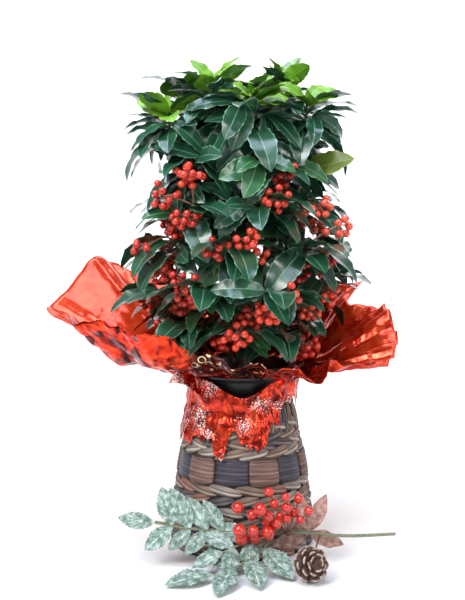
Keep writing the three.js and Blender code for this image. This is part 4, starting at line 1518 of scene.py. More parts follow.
@dataclass
class Shrub:
    """The plant: limbs and masses grown by the rule of the part's source, then filled out.

    The bunches give the place of a hub across the front, and its height. The crown's rows give a rosette's
    name, azimuth, distance out, height, leaves and seed. The tiers' rows give a name, the height where the
    sprays leave their limb, reach, height and sag, leaves, umbels by turns, seed and azimuths.
    """

    film: FilmWrap
    leaf_length: float = 73.0
    leaf_width: float = 25.0
    berry_radius: float = 4.9
    pedicel: float = 14.0
    berries: int = 4
    trunk_base: float = 190.6
    trunk_radii: tuple[float, float] = (5.5, 2.6)
    flare: float = 9.0
    bough_radii: tuple[float, float] = (3.4, 2.1)
    first_fork: float = 206.0
    fork_step: float = 7.0
    climb: float = 95.0
    twig_radii: tuple[float, float] = (1.7, 1.0)
    fine_twig_radii: tuple[float, float] = (1.1, 0.6)
    tries: int = 16
    bunch: tuple[int, int] = (9, 13)
    bunch_tries: int = 110
    young_leaves: int = 20
    extra_turns: int = 9
    bough_twigs: tuple[float, ...] = (0.58, 0.68, 0.78, 0.88, 0.48)
    old_leaves: int = 8
    olive_height: float = 424.0
    olive_size: tuple[float, float] = (66.0, 29.0)
    blade_spread: float = 1.24
    fill_seed: int = 5
    bunches: tuple[tuple[float, float], ...] = (
        (-22, 243), (-58, 424), (-85, 398), (-28, 344), (4, 352), (48, 424), (36, 394), (84, 388), (106, 366),
        (-61, 304), (46, 292), (88, 326), (-106, 342), (-92, 318),
    )
    crown: tuple[tuple[str, float, float, float, int, int], ...] = (
        ("centre", 199, 32, 488, 10, 11), ("left", 194, 84, 456, 10, 12), ("left_back", 156, 72, 484, 9, 13),
        ("front", 284, 50, 466, 10, 24), ("right_top", 22, 48, 494, 9, 15), ("right", 350, 74, 468, 10, 16),
        ("back", 108, 72, 476, 9, 17), ("right_back", 58, 80, 472, 9, 18),
    )
    tiers: tuple[tuple, ...] = (
        ("a", 224, 86, 252, 8, 5, (1,), 31, (212, 268, 322, 24, 96, 160)),
        ("b", 262, 100, 298, 9, 6, (1,), 47, (184, 238, 292, 346, 58, 128)),
        ("c", 306, 92, 346, 8, 6, (1,), 61, (204, 262, 316, 8, 84, 150)),
        ("d", 354, 80, 394, 6, 6, (1, 1, 0), 79, (186, 232, 290, 340, 50, 118)),
        ("e", 404, 58, 432, 5, 6, (0,), 97, (214, 306, 24, 108)),
    )
    limbs: list[Limb] = field(default_factory=list)
    masses: list[Mass] = field(default_factory=list)

    MARKS = (0.16, 0.28, 0.4, 0.52, 0.64, 0.76, 0.88, 0.98)
    STEPS = (-0.92, -0.32, 0.32, 0.92)
    FINE_MARKS = (0.1, 0.18, 0.26, 0.34, 0.42, 0.5, 0.58, 0.66, 0.74, 0.82, 0.9, 0.98)
    FINE_STEPS = (-0.95, -0.5, 0.0, 0.5, 0.95)
    BLADE_STRIPS = (-1, -0.91, -0.045, 0.045, 0.91, 1)
    BERRY_RINGS = (0, 11, 36, 64, 92, 121, 151, 180)

    def __post_init__(self) -> None:
        """Starts with no marks, and with the stream that the filling draws from."""
        self.thicket, self.random = Thicket(), stream(self.fill_seed)

    def free(self, points: Sequence[Array], mass: Mass, far: Gaps, own: Gaps) -> bool:
        """Whether points of a mass keep clear of the film, the pot and all that has grown."""
        return self.film.below(np.array(points)) and self.thicket.clear(points, mass.name, far, own)

    def keep(self, mass: Mass, leaf: Leaf, marks: Array) -> None:
        """Adds a leaf to its mass, and its marks to the thicket."""
        self.thicket.add(marks, mass.name, Kind.LEAF)
        mass.blades.append(leaf)

    def grow(self) -> None:
        """Grows the limbs and masses exactly as the part's source does."""
        self.grow_limbs()
        self.grow_rosettes()
        self.grow_sprays()
        for mass in self.masses:
            if mass.umbels:
                self.grow_umbel(mass)
        for order in range(max(mass.leaves for mass in self.masses)):
            for mass in self.masses:
                if order < mass.leaves:
                    self.grow_leaf(mass, order)

    def grow_limbs(self) -> None:
        """Grows the trunk and the boughs that fork from it."""
        _, azimuth, out, height, *_ = self.crown[0]
        foot, middle = (0, 0, self.trunk_base), (-2, 2, 290)
        trunk = Curve(foot, middle, polar(azimuth, out * 0.6, 400), polar(azimuth, out, height))
        self.limbs = [Limb("trunk", trunk, self.trunk_radii)]
        others = self.crown[1:]
        widest = sorted(others, key=lambda tip: -tip[2])
        for tip in others:
            name, azimuth, out, height, *_ = tip
            fork = trunk.at(trunk.share_at_height(self.first_fork + self.fork_step * widest.index(tip)))
            start = fork + polar(azimuth, self.trunk_radii[0] + self.bough_radii[0] + 0.2, 0)
            end = polar(azimuth, out, height)
            low = start + polar(azimuth, 0.42 * out, self.climb * 0.55)
            high = end + polar(azimuth, -0.12 * out, -self.climb)
            self.limbs.append(Limb("bough_" + name, Curve(start, low, high, end), self.bough_radii))
        for limb in self.limbs:
            self.thicket.add(limb.curve.at(np.linspace(0, 1, 49)), limb.name, Kind.LIMB)

    def grow_rosettes(self) -> None:
        """Starts the rosettes, each on a short stem that grows on from its bough's tip."""
        for (name, azimuth, _, _, leaves, seed), limb in zip(self.crown, self.limbs):
            heading = limb.curve.heading(1.0)
            start = limb.curve.at(1.0) + heading * GAP
            curve = Curve(start, start + heading * 20, start + heading * 24 + UP * 16)
            mass = Mass("crown_" + name, curve, azimuth, stream(seed), leaves, crown=True)
            self.thicket.add(curve.at(np.linspace(0, 1, 5)), mass.name, Kind.TWIG)
            self.masses.append(mass)

    def grow_sprays(self) -> None:
        """Starts the side sprays: each leaves the limb that stands nearest to its tip, and arches out."""
        near, start = Gaps(5.5, 6.5), Gaps(twig=6.5)
        for tier, attach, reach, top, sag, leaves, umbels, seed, azimuths in self.tiers:
            for k, wanted in enumerate(azimuths):
                name = f"spray_{tier}_{k + 1}"
                random = stream(seed + k)
                random()
                out = reach * lerp(0.9, 1.1, random())
                height = top + 16 * (random() - 0.5)
                for t in range(self.tries):
                    azimuth = wanted + (1 if t % 2 else -1) * 4 * math.ceil(t / 2)
                    curve = self.spray_curve(polar(azimuth, out, height), attach, sag)
                    marks = curve.at(np.linspace(0, 1, 15))
                    if self.thicket.clear(marks[3:], name, near) and self.thicket.clear(marks, name, start):
                        self.thicket.add(marks, name, Kind.TWIG)
                        fruit = umbels[k % len(umbels)]
                        self.masses.append(Mass(name, curve, azimuth, random, leaves, fruit))
                        break

    def spray_curve(self, tip: Array, attach: float, sag: float) -> Curve:
        """Bends the stem of a spray.

        Args:
            tip: Where it ends.
            attach: The height at which it leaves its limb.
            sag: How far its middle stands above a straight line.

        Returns:
            The curve.
        """
        spots = []
        for limb in self.limbs:
            share = limb.curve.share_at_height(attach)
            place = limb.curve.at(share)
            spots.append((float(np.linalg.norm(place - tip)), share, limb, place))
        _, share, limb, place = min(spots, key=lambda spot: spot[0])
        grain = limb.curve.heading(share)
        away = (tip - place) * [1, 1, 0]
        away = unit(away - grain * away.dot(grain))
        foot = place + away * (lerp(*limb.radii, share) + GAP)
        bow = lerp(foot, tip, 0.5) + UP * sag
        tilt = math.sqrt(max(0.0, 1 - unit(bow - foot).dot(away) ** 2))
        return Curve(foot + away * self.twig_radii[0] * tilt, bow, tip)

    def grow_umbel(self, mass: Mass, span: tuple[float, float] = (0.72, 0.98), leaf_gap: float = 0.0) -> None:
        """Grows a drooping umbel with its first few berries, or leaves it out.

        Args:
            mass: Its mass.
            span: The shares of the mass's stem between which it hangs.
            leaf_gap: The least distance from leaves.
        """
        random = mass.random
        far, own = Gaps(9, 7.5, leaf_gap, 10.8, 7), Gaps(leaf=leaf_gap, fruit=10.8)
        near = Gaps(6, 5, 0, 7, 4)
        for _ in range(self.tries):
            root = mass.curve.at(lerp(*span, random()))
            turn = math.radians(mass.azimuth) + (random() - 0.5) * 2.2
            drop = lerp(-0.15, -0.75, random())
            reach = lerp(16, 24, random())
            level = math.cos(drop)
            stalk = np.array([math.cos(turn) * level, math.sin(turn) * level, math.sin(drop)])
            hub = root + stalk * reach
            side = np.array([-math.sin(turn), math.cos(turn), 0.0])
            over = np.cross(stalk, side)
            places = []
            for k in range(self.berries):
                opening = 0.25 * random() if k == 0 else lerp(0.95, 1.3, random())
                spin = k / (self.berries - 1) * math.tau + 0.4 * random()
                heading = stalk * math.cos(opening)
                heading = heading + (side * math.cos(spin) + over * math.sin(spin)) * math.sin(opening)
                heading[2] -= 0.35
                places.append(hub + unit(heading) * self.pedicel * lerp(0.85, 1.15, random()))
            umbel = Umbel(root, hub, [])
            if not self.free(places, mass, far, own):
                continue
            if not self.thicket.clear(umbel.stalk_marks(), mass.name, near):
                continue
            umbel.berries = [
                p for i, p in enumerate(places)
                if all(np.linalg.norm(p - q) > 2.02 * self.berry_radius for q in places[:i])
            ]
            self.thicket.add(umbel.berries, mass.name, Kind.FRUIT)
            middles = [(berry + hub) / 2 for berry in umbel.berries]
            self.thicket.add([*umbel.stalk_marks(), *middles], mass.name, Kind.STALK)
            mass.fruit.append(umbel)
            return

    def grow_leaf(self, mass: Mass, order: int) -> None:
        """Grows one leaf, turned and bent until it finds room, or leaves it out.

        Args:
            mass: Its mass.
            order: Its number on the stem.
        """
        random, crown = mass.random, mass.crown
        share = order / (mass.leaves - 1)
        base = mass.curve.at(lerp(0.2, 0.92, share) if crown else lerp(0.5, 0.95, share))
        middle = math.radians(mass.azimuth)
        far, own = Gaps(8, 6, 7, 8.2, 4.5), Gaps(leaf=4 if order else 0, fruit=8.2, stalk=3)
        for t in range(self.tries):
            shift = (random() - 0.5) * (0.5 + t * 0.12)
            fan = middle + order * GOLDEN % 3.6 - 1.8
            azimuth = (middle + order * GOLDEN if crown else fan) + shift
            rise = lerp(-0.2, 0.8, share) + 0.5 * (random() - 0.5) if crown else lerp(-0.55, 0.35, random())
            bend = lerp(1.4, 0.7, share) + 0.4 * (random() - 0.5) if crown else lerp(0.7, 1.4, random())
            roll = 0.7 * (random() - 0.5)
            size = lerp(0.86, 1.12, random()) * (lerp(1, 0.82, share) if crown else 1)
            length, width = self.leaf_length * size, self.leaf_width * size
            leaf = Leaf.turned_by(base, azimuth, rise, roll, bend, length, width)
            marks = leaf.marks(self.MARKS, self.STEPS)
            if self.free(marks, mass, far, own):
                self.keep(mass, leaf, marks)
                return

    def fill_out(self) -> None:
        """Carries the growth on in the room that is left: fruit, side twigs, young shoots and leaves."""
        self.mark_finely()
        grown = list(self.masses)
        self.add_olive_leaf()
        for mass in grown:
            for umbel in mass.fruit:
                self.crowd(umbel, mass)
        for mass in grown:
            if mass.umbels:
                self.grow_umbel(mass, (0.4, 0.7), 7.0)
                for umbel in mass.fruit[1:]:
                    self.crowd(umbel, mass)
        for across, height in self.bunches:
            self.hang_umbel(across, height)
        for index, mass in enumerate(grown):
            mass.tint = Tint.DEEP if mass.crown or index % 3 else Tint.MID
            for way in (-0.35, 0.35):
                self.branch(mass, mass.curve, (0.25, 0.6) if mass.crown else (0.4, 0.85), way)
            if mass.crown:
                for leaf in mass.blades[self.old_leaves:]:
                    leaf.tint = Tint.OLIVE if leaf.tint is Tint.OLIVE else Tint.FRESH
                self.sprout(mass)
                for k, low in enumerate(self.bough_twigs):
                    self.branch(mass, self.limbs[index].curve, (low, low + 0.07), 0.28 * (k + 1) * (-1) ** k)
        for _ in range(self.extra_turns):
            for mass in self.masses:
                self.add_leaf(mass)
        umbels = self.umbels()
        leaves, berries = sum(len(m.blades) for m in self.masses), sum(len(u.berries) for u in umbels)
        log.info("%d leaves, %d berries in %d bunches", leaves, berries, len(umbels))

    def mark_finely(self) -> None:
        """Marks all that has grown again, more densely."""
        self.thicket = Thicket()
        for limb in self.limbs:
            self.thicket.add(limb.curve.at(np.linspace(0, 1, 97)), limb.name, Kind.LIMB)
        for mass in self.masses:
            self.thicket.add(mass.curve.at(np.linspace(0, 1, 25)), mass.name, Kind.TWIG)
            for leaf in mass.blades:
                self.thicket.add(leaf.marks(self.FINE_MARKS, self.FINE_STEPS), mass.name, Kind.LEAF)
            for umbel in mass.fruit:
                self.thicket.add(umbel.berries, mass.name, Kind.FRUIT)
                self.thicket.add(umbel.stalk_marks(), mass.name, Kind.STALK)

    def crowd(self, umbel: Umbel, mass: Mass) -> None:
        """Fills an umbel until its berries nearly touch.

        Args:
            umbel: The umbel.
            mass: Its mass.
        """
        random = self.random
        least, most = self.bunch
        wanted = least + int(random() * (most - least + 1))
        stalk = unit(unit(umbel.hub - umbel.root) * [1, 1, 0.4] - UP * 0.5)
        far, own = Gaps(8, 6.3, 6.0, 9.2, 5.5), Gaps(twig=6.0, leaf=5.6, fruit=8.8)
        for _ in range(self.bunch_tries):
            if len(umbel.berries) >= wanted:
                return
            lean = np.array([random(), random(), random()]) * 2 - 1
            heading = unit(unit(lean) * 1.25 + stalk * 0.8 - UP * 0.35)
            place = umbel.hub + heading * self.pedicel * lerp(0.7, 1.2, random())
            if self.free(place[None], mass, far, own):
                umbel.berries.append(place)
                self.thicket.add(place[None], mass.name, Kind.FRUIT)

    def hang_umbel(self, across: float, height: float) -> None:
        """Hangs a bunch on a stalk from the nearest twig, at the depth where it hangs free in front.

        Args:
            across: Where its hub is, across the front.
            height: The height of its hub.
        """
        stems = [(mass, mass.curve.at(np.linspace(0.3, 1, 24))) for mass in self.masses if not mass.finer]
        best, room = None, -math.inf
        for depth in np.arange(-120, -44, 7.0):
            hub = np.array([across, depth, height])
            mass, spots = min(stems, key=lambda stem: float(np.linalg.norm(stem[1] - hub, axis=1).min()))
            gaps = np.linalg.norm(spots - hub, axis=1)
            ahead = min(self.thicket.room(hub - [0, step, 8]) for step in (0, 14, 28, 42))
            free = min(ahead, 13.0) - 0.6 * max(float(gaps.min()) - 20, 0)
            if free > room and self.film.below((hub - UP * 14)[None]):
                best, room = (mass, Umbel(spots[np.argmin(gaps)], hub, [])), free
        if best:
            mass, umbel = best
            self.thicket.add(umbel.stalk_marks(), mass.name, Kind.STALK)
            mass.fruit.append(umbel)
            self.crowd(umbel, mass)

    def sprout(self, mass: Mass) -> None:
        """Grows small upright leaves at the tip of a rosette.

        Args:
            mass: The rosette.
        """
        random = self.random
        for k in range(self.young_leaves):
            turn = k * GOLDEN + 2 * random()
            length = lerp(26, 50, random())
            tip = mass.curve.at(lerp(0.8, 1.0, random()))
            roll = self.outward_roll(tip, turn, random())
            leaf = Leaf.turned_by(tip, turn, lerp(0.0, 1.1, random()), roll, 0.6, length, length * 0.44)
            marks = leaf.marks(self.FINE_MARKS[2:], self.FINE_STEPS)
            if self.thicket.clear(marks, mass.name, Gaps(leaf=2), Gaps(leaf=0.8)):
                leaf.tint = Tint.YOUNG
                self.keep(mass, leaf, marks)

    def branch(self, mass: Mass, stem: Curve, span: tuple[float, float], way: float) -> None:
        """Grows a finer twig from a stem.

        Args:
            mass: Its mass.
            stem: The stem that it grows from.
            span: The shares of the stem between which it starts.
            way: Its turn from the mass's azimuth, as a share of half a turn.
        """
        random = self.random
        far, own = Gaps(5, 5, 2.4, 6.2, 3), Gaps(leaf=1.6, fruit=6.2, stalk=2.5)
        for _ in range(self.tries):
            share = lerp(*span, random())
            start, run = stem.at(share), stem.heading(share)
            turn = math.degrees(math.pi * way * lerp(0.6, 1.4, random()))
            level = polar(mass.azimuth + turn, 1, 0)
            heading = unit(run * lerp(0.2, 0.6, random()) + level + UP * 0.1)
            reach = lerp(20, 34, random())
            bow = start + heading * reach * 0.55 + UP * 2.5
            curve = Curve(start, bow, start + heading * reach + UP * 1.5)
            marks = curve.at(np.linspace(0.35, 1, 8))
            if self.free(marks, mass, far, own):
                self.thicket.add(marks, mass.name, Kind.TWIG)
                azimuth = math.degrees(math.atan2(heading[1], heading[0]))
                self.masses.append(Mass(mass.name, curve, azimuth, random, finer=True, tint=mass.tint))
                return

    def add_leaf(self, mass: Mass) -> None:
        """Adds a leaf where there is room among the others and within their reach.

        Args:
            mass: Its mass.
        """
        random = self.random
        far, own = Gaps(4.5, 2.6, 2.8, 6.2, 2.0), Gaps(leaf=2.0, fruit=6.0, stalk=1.8)
        middle = math.radians(mass.azimuth)
        for _ in range(self.tries):
            share = random()
            if mass.crown:
                base = mass.curve.at(lerp(0.0, 0.95, share))
                azimuth = middle + math.tau * random()
                rise, bend = lerp(-0.6, 0.8, share), lerp(0.9, 0.5, share)
            else:
                base = mass.curve.at(lerp(0.3, 1.0, share))
                azimuth = middle + 3.8 * (random() - 0.5)
                rise, bend = lerp(-0.8, 0.35, random()), lerp(0.4, 1.1, random())
            size = lerp(0.66, 1.02, random()) * (0.9 if mass.finer else 1)
            rise = rise + 0.4 * (random() - 0.5)
            roll = self.outward_roll(base, azimuth, random())
            width = self.leaf_width * size * lerp(0.92, 1.12, random())
            leaf = Leaf.turned_by(base, azimuth, rise, roll, bend, self.leaf_length * size, width)
            marks = leaf.marks(self.FINE_MARKS[1:], self.FINE_STEPS)
            tip = marks[-3 * len(self.FINE_STEPS):]
            if self.thicket.within(tip, 13.0) and self.free(marks, mass, far, own):
                leaf.tint = Tint.FRESH if mass.crown and share > 0.8 else mass.tint
                self.keep(mass, leaf, marks)
                return

    def outward_roll(self, base: Array, azimuth: float, amount: float) -> float:
        """The roll, by an amount from 0 to 1, that turns a leaf's face out from the axis to the light."""
        way = math.copysign(1, math.cos(azimuth) * base[1] - math.sin(azimuth) * base[0])
        return way * lerp(0.0, 1.2, amount)

    def add_olive_leaf(self) -> None:
        """Adds the one broad leaf of the right side, painted olive as if lit through from behind, turned
        aside until it has room.
        """
        bough = next(limb for limb in self.limbs if limb.name == "bough_right")
        mass = next(mass for mass in self.masses if mass.name == "crown_right")
        for t in range(self.tries):
            base = bough.curve.at(bough.curve.share_at_height(self.olive_height + 2.5 * t))
            turn = math.radians(-28 + 4 * (t % 5))
            leaf = Leaf.turned_by(base, turn, 0.35, -1.05, 0.35, *self.olive_size)
            # Painted light: the olive tint stands for light shining through the leaf from behind.
            leaf.tint = Tint.OLIVE
            marks = leaf.marks(self.FINE_MARKS[2:], self.FINE_STEPS)
            if self.thicket.clear(marks, mass.name, Gaps(leaf=1.5, fruit=5), Gaps(leaf=1.5)):
                break
        self.keep(mass, leaf, marks)

    def nodes(self, chosen: Sequence[Mass]) -> list[str]:
        """The model's nodes that masses belong to, each once."""
        return sorted({mass.name for mass in chosen})

    def umbels(self) -> list[Umbel]:
        """All bunches of fruit."""
        return [umbel for mass in self.masses for umbel in mass.fruit]

    def wood(self) -> None:
        """Makes the trunk and boughs, ridged where leaves have fallen and cracked between."""
        batch, stamp = Batch(), Stamp.take(rod(22, 90))
        share = stamp.corners[:, 2]
        ring = 0.96 + 0.16 * np.exp(-((((share * 22) % 1) - 0.5) ** 2) / 0.012)
        for limb in self.limbs:
            flare = self.flare - self.trunk_radii[0] if limb.name == "trunk" else 0
            radii = lerp(*limb.radii, share) * ring + flare * np.exp(-share / 0.025)
            places = along_tube(stamp, limb.curve, lambda _: radii)
            middle = limb.curve.at(share)
            batch.add(stamp, middle + (places - middle) * (1 + roughen(places, 2.6, 0.16))[:, None])
        names = [limb.name for limb in self.limbs]
        piece_of(batch.mesh("trunk_and_boughs"), "bark", (BARK,), *names)

    def shoots(self) -> None:
        """Makes the twigs: rosette stems, spray stems and the finer ones that fork from them."""
        batch, stamp = Batch(), Stamp.take(rod(7, 12))
        share = stamp.corners[:, 2]
        for mass in self.masses:
            ends = self.fine_twig_radii if mass.finer else self.twig_radii
            batch.tube(stamp, mass.curve, lambda _: lerp(*ends, share) * (1 + 0.12 * np.cos(share * 40)))
        piece_of(batch.mesh("twigs"), "foliage", (SHOOT,), *self.nodes(self.masses))

    def foliage(self) -> None:
        """Makes the leaves, one piece for each tint."""
        stamp = blade_stamp(self.BLADE_STRIPS, 14)
        for tint in Tint:
            chosen = [mass for mass in self.masses if any(leaf.tint is tint for leaf in mass.blades)]
            batch = Batch()
            for leaf in (leaf for mass in chosen for leaf in mass.blades if leaf.tint is tint):
                batch.add(stamp, dressed_blade(stamp, leaf, 0.3, 1.3, 0.05, self.blade_spread, 0.68))
            mesh = batch.mesh(f"leaves_{tint.name.lower()}")
            piece_of(mesh, "foliage", tint.value, *self.nodes(chosen))

    def stalks(self) -> None:
        """Makes the stalks of the umbels and of each berry."""
        batch, stamp = Batch(), Stamp.take(rod(5, 4))
        for umbel in self.umbels():
            root, hub = umbel.root, umbel.hub
            bow = lerp(root, hub, 0.5) + UP * 0.12 * np.linalg.norm(hub - root)
            batch.tube(stamp, Curve(root, bow, hub), lambda share: 0.95 - 0.15 * share + 0.5 * share**12)
            for place in umbel.berries:
                end = lerp(hub, place, 0.75)
                arch = lerp(hub, end, 0.5) + UP * 1.2
                batch.tube(stamp, Curve(hub, arch, end), lambda share: 0.5 + 0.35 * share**6)
        names = self.nodes([mass for mass in self.masses if mass.fruit])
        piece_of(batch.mesh("fruit_stalks"), "foliage_with_fruit", (STALK,), *names)

    def berry_stamp(self) -> Stamp:
        """Makes one berry: a ball whose rings are moved so that its first one bounds the flower's scar.

        Returns:
            The stamp.
        """
        shape = ball(10, 7)
        x, y, z = corners_of(shape).T
        even = np.linspace(0, math.pi, len(self.BERRY_RINGS))
        angle = np.interp(np.arccos(np.clip(z, -1, 1)), even, np.radians(self.BERRY_RINGS))
        out = np.sin(angle) / (np.hypot(x, y) + 1e-9)
        move_corners(shape, np.stack([x * out, y * out, np.cos(angle)], 1))
        for face in shape.faces:
            face.material_index = 1 if face.calc_center_median().z > 0.98 else 0
        return Stamp.take(shape)

    def fruit(self) -> None:
        """Makes the berries, one piece for each tint."""
        stamp, random = self.berry_stamp(), stream(self.fill_seed, 104729)
        batches = [Batch() for _ in FRUIT]
        for umbel in self.umbels():
            batch = batches[(0, 0, 1, 1, 2)[int(random() * 5)]]
            for place in umbel.berries:
                radius = self.berry_radius * lerp(0.82, 0.97, random())
                size = np.array([1, 1, lerp(0.9, 0.97, random())]) * radius
                batch.put(stamp, place, place - umbel.hub + UP * (random() - 0.5) * 8, size)
        names = self.nodes([mass for mass in self.masses if mass.fruit])
        for finish, batch in zip(FRUIT, batches):
            mesh = batch.mesh(finish.name.replace(" ", "_"))
            piece_of(mesh, "foliage_with_fruit", (finish, SCAR), *names)

    def build(self) -> None:
        """Grows the plant and makes its pieces."""
        self.grow()
        self.fill_out()
        self.wood()
        self.shoots()
        self.foliage()
        self.stalks()
        self.fruit()


def blade_stamp(across: Sequence[float], stations: int, plain: bool = False) -> Stamp:
    """Makes a flat blade whose rib and edges have a finish of their own.

    Args:
        across: Places across it, from -1 to 1. The outer strips are its edges.
        stations: Faces along it.
        plain: Whether it has one finish all over.

    Returns:
        The stamp: X is the place across, and Y the share along.
    """
    strips = len(across) - 1
    steps = np.linspace(0, 1, strips + 1)
    shape = field_of(
        strips, stations, lambda u, v: np.stack([np.interp(u, steps, across), v, np.zeros_like(u)], 1), 0
    )
    for face in shape.faces:
        middle = abs(face.calc_center_median().x)
        rib_or_edge = middle < abs(across[strips // 2]) or middle > abs(across[1])
        face.material_index = 1 if rib_or_edge and not plain else 0
    return Stamp.take(shape)


def dressed_blade(
    stamp: Stamp, leaf: Leaf, fold: float, wave: float, teeth: float = 0.0, spread: float = 1.0,
    taper: float = 0.85,
) -> Array:
    """Gives a blade its leaf's outline, fold, cupped halves and wavy edge.

    Args:
        stamp: The flat blade.
        leaf: The leaf.
        fold: How far its halves rise, in radians.
        wave: How far its edge waves.
        teeth: The depth of its teeth, as a share of the half width.
        spread: How much wider it is than the leaf.
        taper: How early it narrows to its ends.

    Returns:
        The places of its corners.
    """
    step, share = stamp.corners[:, 0], stamp.corners[:, 1]
    stations = len(np.unique(share)) - 1
    half = spread * leaf.width / 2 * np.sin(math.pi * share**0.94) ** taper
    half = np.maximum(half, 0.5 - 0.35 * share)
    half = half * (1 + teeth * np.where(np.abs(step) > 0.99, np.cos(share * math.pi * stations), 0))
    rise = half * np.abs(step) * math.sin(fold) - 0.35 * half * math.sin(fold) * step**2
    rise = rise + wave * step**2 * np.sin(share * 19 + step * 2 + leaf.length) * np.sin(math.pi * share)
    return leaf.places(share, step * half * math.cos(fold), rise)


@dataclass
class WinterPick:
    """The pick that lies before the basket: stem, frosted sprigs, berries on wires, petals and a cone."""

    stem: tuple = (
        (-94, -88, 46), (-43, -90, 39), (2, -87.5, 36), (55, -90, 36), (112, -90, 32), (166, -84, 32),
    )
    twig: tuple = ((30, -87.5, 32), (22, -104, 21), (-2, -124, 13), (-30, -137, 7))
    short_twig: tuple = ((24, -90, 33), (8, -98, 29), (-8, -106, 25), (-20, -112, 22))
    stem_radius: float = 1.7
    leaf_length: float = 44.0
    petal_length: float = 44.0
    petal_width: float = 18.0
    petal_angles: tuple[float, ...] = (106, 62, -24, 206, 154)
    hub_share: float = 0.58
    hub_radius: float = 3.2
    petals_share: float = 0.66
    cone_share: float = 0.7
    wires: int = 8
    long_wires: int = 6
    wire_length: float = 64.0
    wire_fan: tuple[float, float] = (184, 58)
    berry_radii: tuple[float, float] = (4.4, 7.2)
    cone: tuple[float, float, float] = (71, -141, 19.2)
    cone_radius: float = 15.5
    cone_tilt: float = 68.0
    cone_spin: float = 24.0
    cone_scales: int = 42
    scale_width: float = 10.2

    LEAF_STRIPS = (-1, -0.85, -0.6, -0.3, -0.06, 0.06, 0.3, 0.6, 0.85, 1)

    def beside_stem(self, share: float, distance: float) -> Array:
        """A place just off the stem, on its front or its back."""
        return Spline(*self.stem).at(share) + np.array([0, distance, 0])

    def wrapped_stem(self) -> None:
        """Makes the stem, with its paper wound round it."""
        batch, stamp = Batch(), Stamp.take(rod(12, 220))
        x, y, share = stamp.corners.T
        winding = 0.12 * np.sin(share * 420 + np.arctan2(y, x))
        batch.tube(stamp, Spline(*self.stem), lambda _: self.stem_radius + winding)
        piece_of(batch.mesh("pick_stem_wrap"), "wrapped_wire", (WIRE,), "pick_stem")

    def sprig(
        self, batch: Batch, curve: Curve, pairs: int, start: float, facing: Sequence[float],
        sizes: Sequence[float], seed: int,
    ) -> None:
        """Makes frosted leaves in pairs along a stem, with one at its end.

        Args:
            batch: Takes the stem and its leaves.
            curve: The stem.
            pairs: How many pairs.
            start: The share of the stem at the first pair.
            facing: Where the faces of the leaves look.
            sizes: Leaf sizes on the left, at the end and on the right.
            seed: What tells its stream from others.
        """
        random, front = stream(seed), unit(np.array(facing, float))
        blade, stalk = blade_stamp(self.LEAF_STRIPS, 22, True), Stamp.take(rod(8, 12))
        batch.tube(stalk, curve, lambda share: lerp(1.3, 0.8, share), 1)
        for k in range(pairs + 1):
            share = lerp(1, start, k / pairs)
            for way in (-1, 1) if k else (0,):
                run = curve.heading(share)
                normal = unit(front - run * front.dot(run))
                side = np.cross(run, normal)
                heading = unit(run * (lerp(0.35, 0.8, random()) if way else 1) + side * way * 0.84)
                normal = unit(normal + 0.5 * (random() - 0.5) * side)
                length = self.leaf_length * sizes[way + 1] * lerp(0.86, 1.14, random())
                base = curve.at(share)
                bend = lerp(0.1, 0.35, random())
                heading[2] = max(heading[2], (3 - base[2]) / length + bend / 2)
                heading = unit(heading)
                normal = unit(normal - heading * normal.dot(heading))
                leaf = Leaf(base, heading, normal, bend, length, length * lerp(0.42, 0.54, random()))
                places = dressed_blade(blade, leaf, 0.24, 1.2, 0.06)
                places[:, 2] = np.maximum(places[:, 2], LOWEST)
                batch.add(blade, places)

    def foliage(self) -> None:
        """Makes the frosted sprigs: the one that ends the stem, and the two that lie before it."""
        leafy = Spline(*[(x, y - 2 * self.stem_radius, z) for x, y, z in self.stem[2::-1]])
        upper, lower = Batch(), Batch()
        self.sprig(upper, leafy, 4, 0.24, (0, -1, 0.35), (0.84, 1, 1.05), 5)
        self.sprig(lower, Spline(*self.twig), 3, 0.3, (0, -0.35, 1), (1.2, 1.1, 0.6), 9)
        self.sprig(lower, Spline(*self.short_twig), 2, 0.35, (0, -0.8, 0.7), (0.85, 0.95, 0.85), 14)
        for name, batch in (("pick_leaves_upper", upper), ("pick_leaves_lower", lower)):
            piece_of(batch.mesh(name + "_frosted"), "frosted_leaf", (FROSTED, WIRE), name)

    def berries(self) -> None:
        """Makes the glossy berries on wires that fan out from a hub before the stem."""
        random, batch = stream(17), Batch()
        bead, wire = Stamp.take(ball(24, 16)), Stamp.take(rod(8, 10))
        hub = self.beside_stem(self.hub_share, -(self.stem_radius + GAP + self.hub_radius))
        batch.put(bead, hub, UP, self.hub_radius, 1)
        for k in range(self.wires):
            short = k >= self.long_wires
            turn = math.radians(lerp(*self.wire_fan, k / (self.wires - 1)))
            reach = self.wire_length * lerp(0.78, 1, random()) * (0.72 if short else 1)
            heading = unit(np.array([math.cos(turn), -0.5 if k % 2 else -0.16, math.sin(turn) * 0.9]))
            shares = (0.6, 1) if short else (0.42, 0.72, 1)
            sizes = [lerp(*self.berry_radii, (0.45 if k < 4 else 0) + 0.55 * random()) for _ in shares]
            batch.tube(wire, Curve(hub, hub + heading * reach), lambda _: 0.6, 1)
            for share, size in zip(shares, sizes):
                batch.put(bead, hub + heading * reach * share, heading, size)
        mesh = batch.mesh("pick_berries_lacquered")
        piece_of(mesh, "lacquered_berry", (LACQUER, DARK_WIRE), "pick_berries")

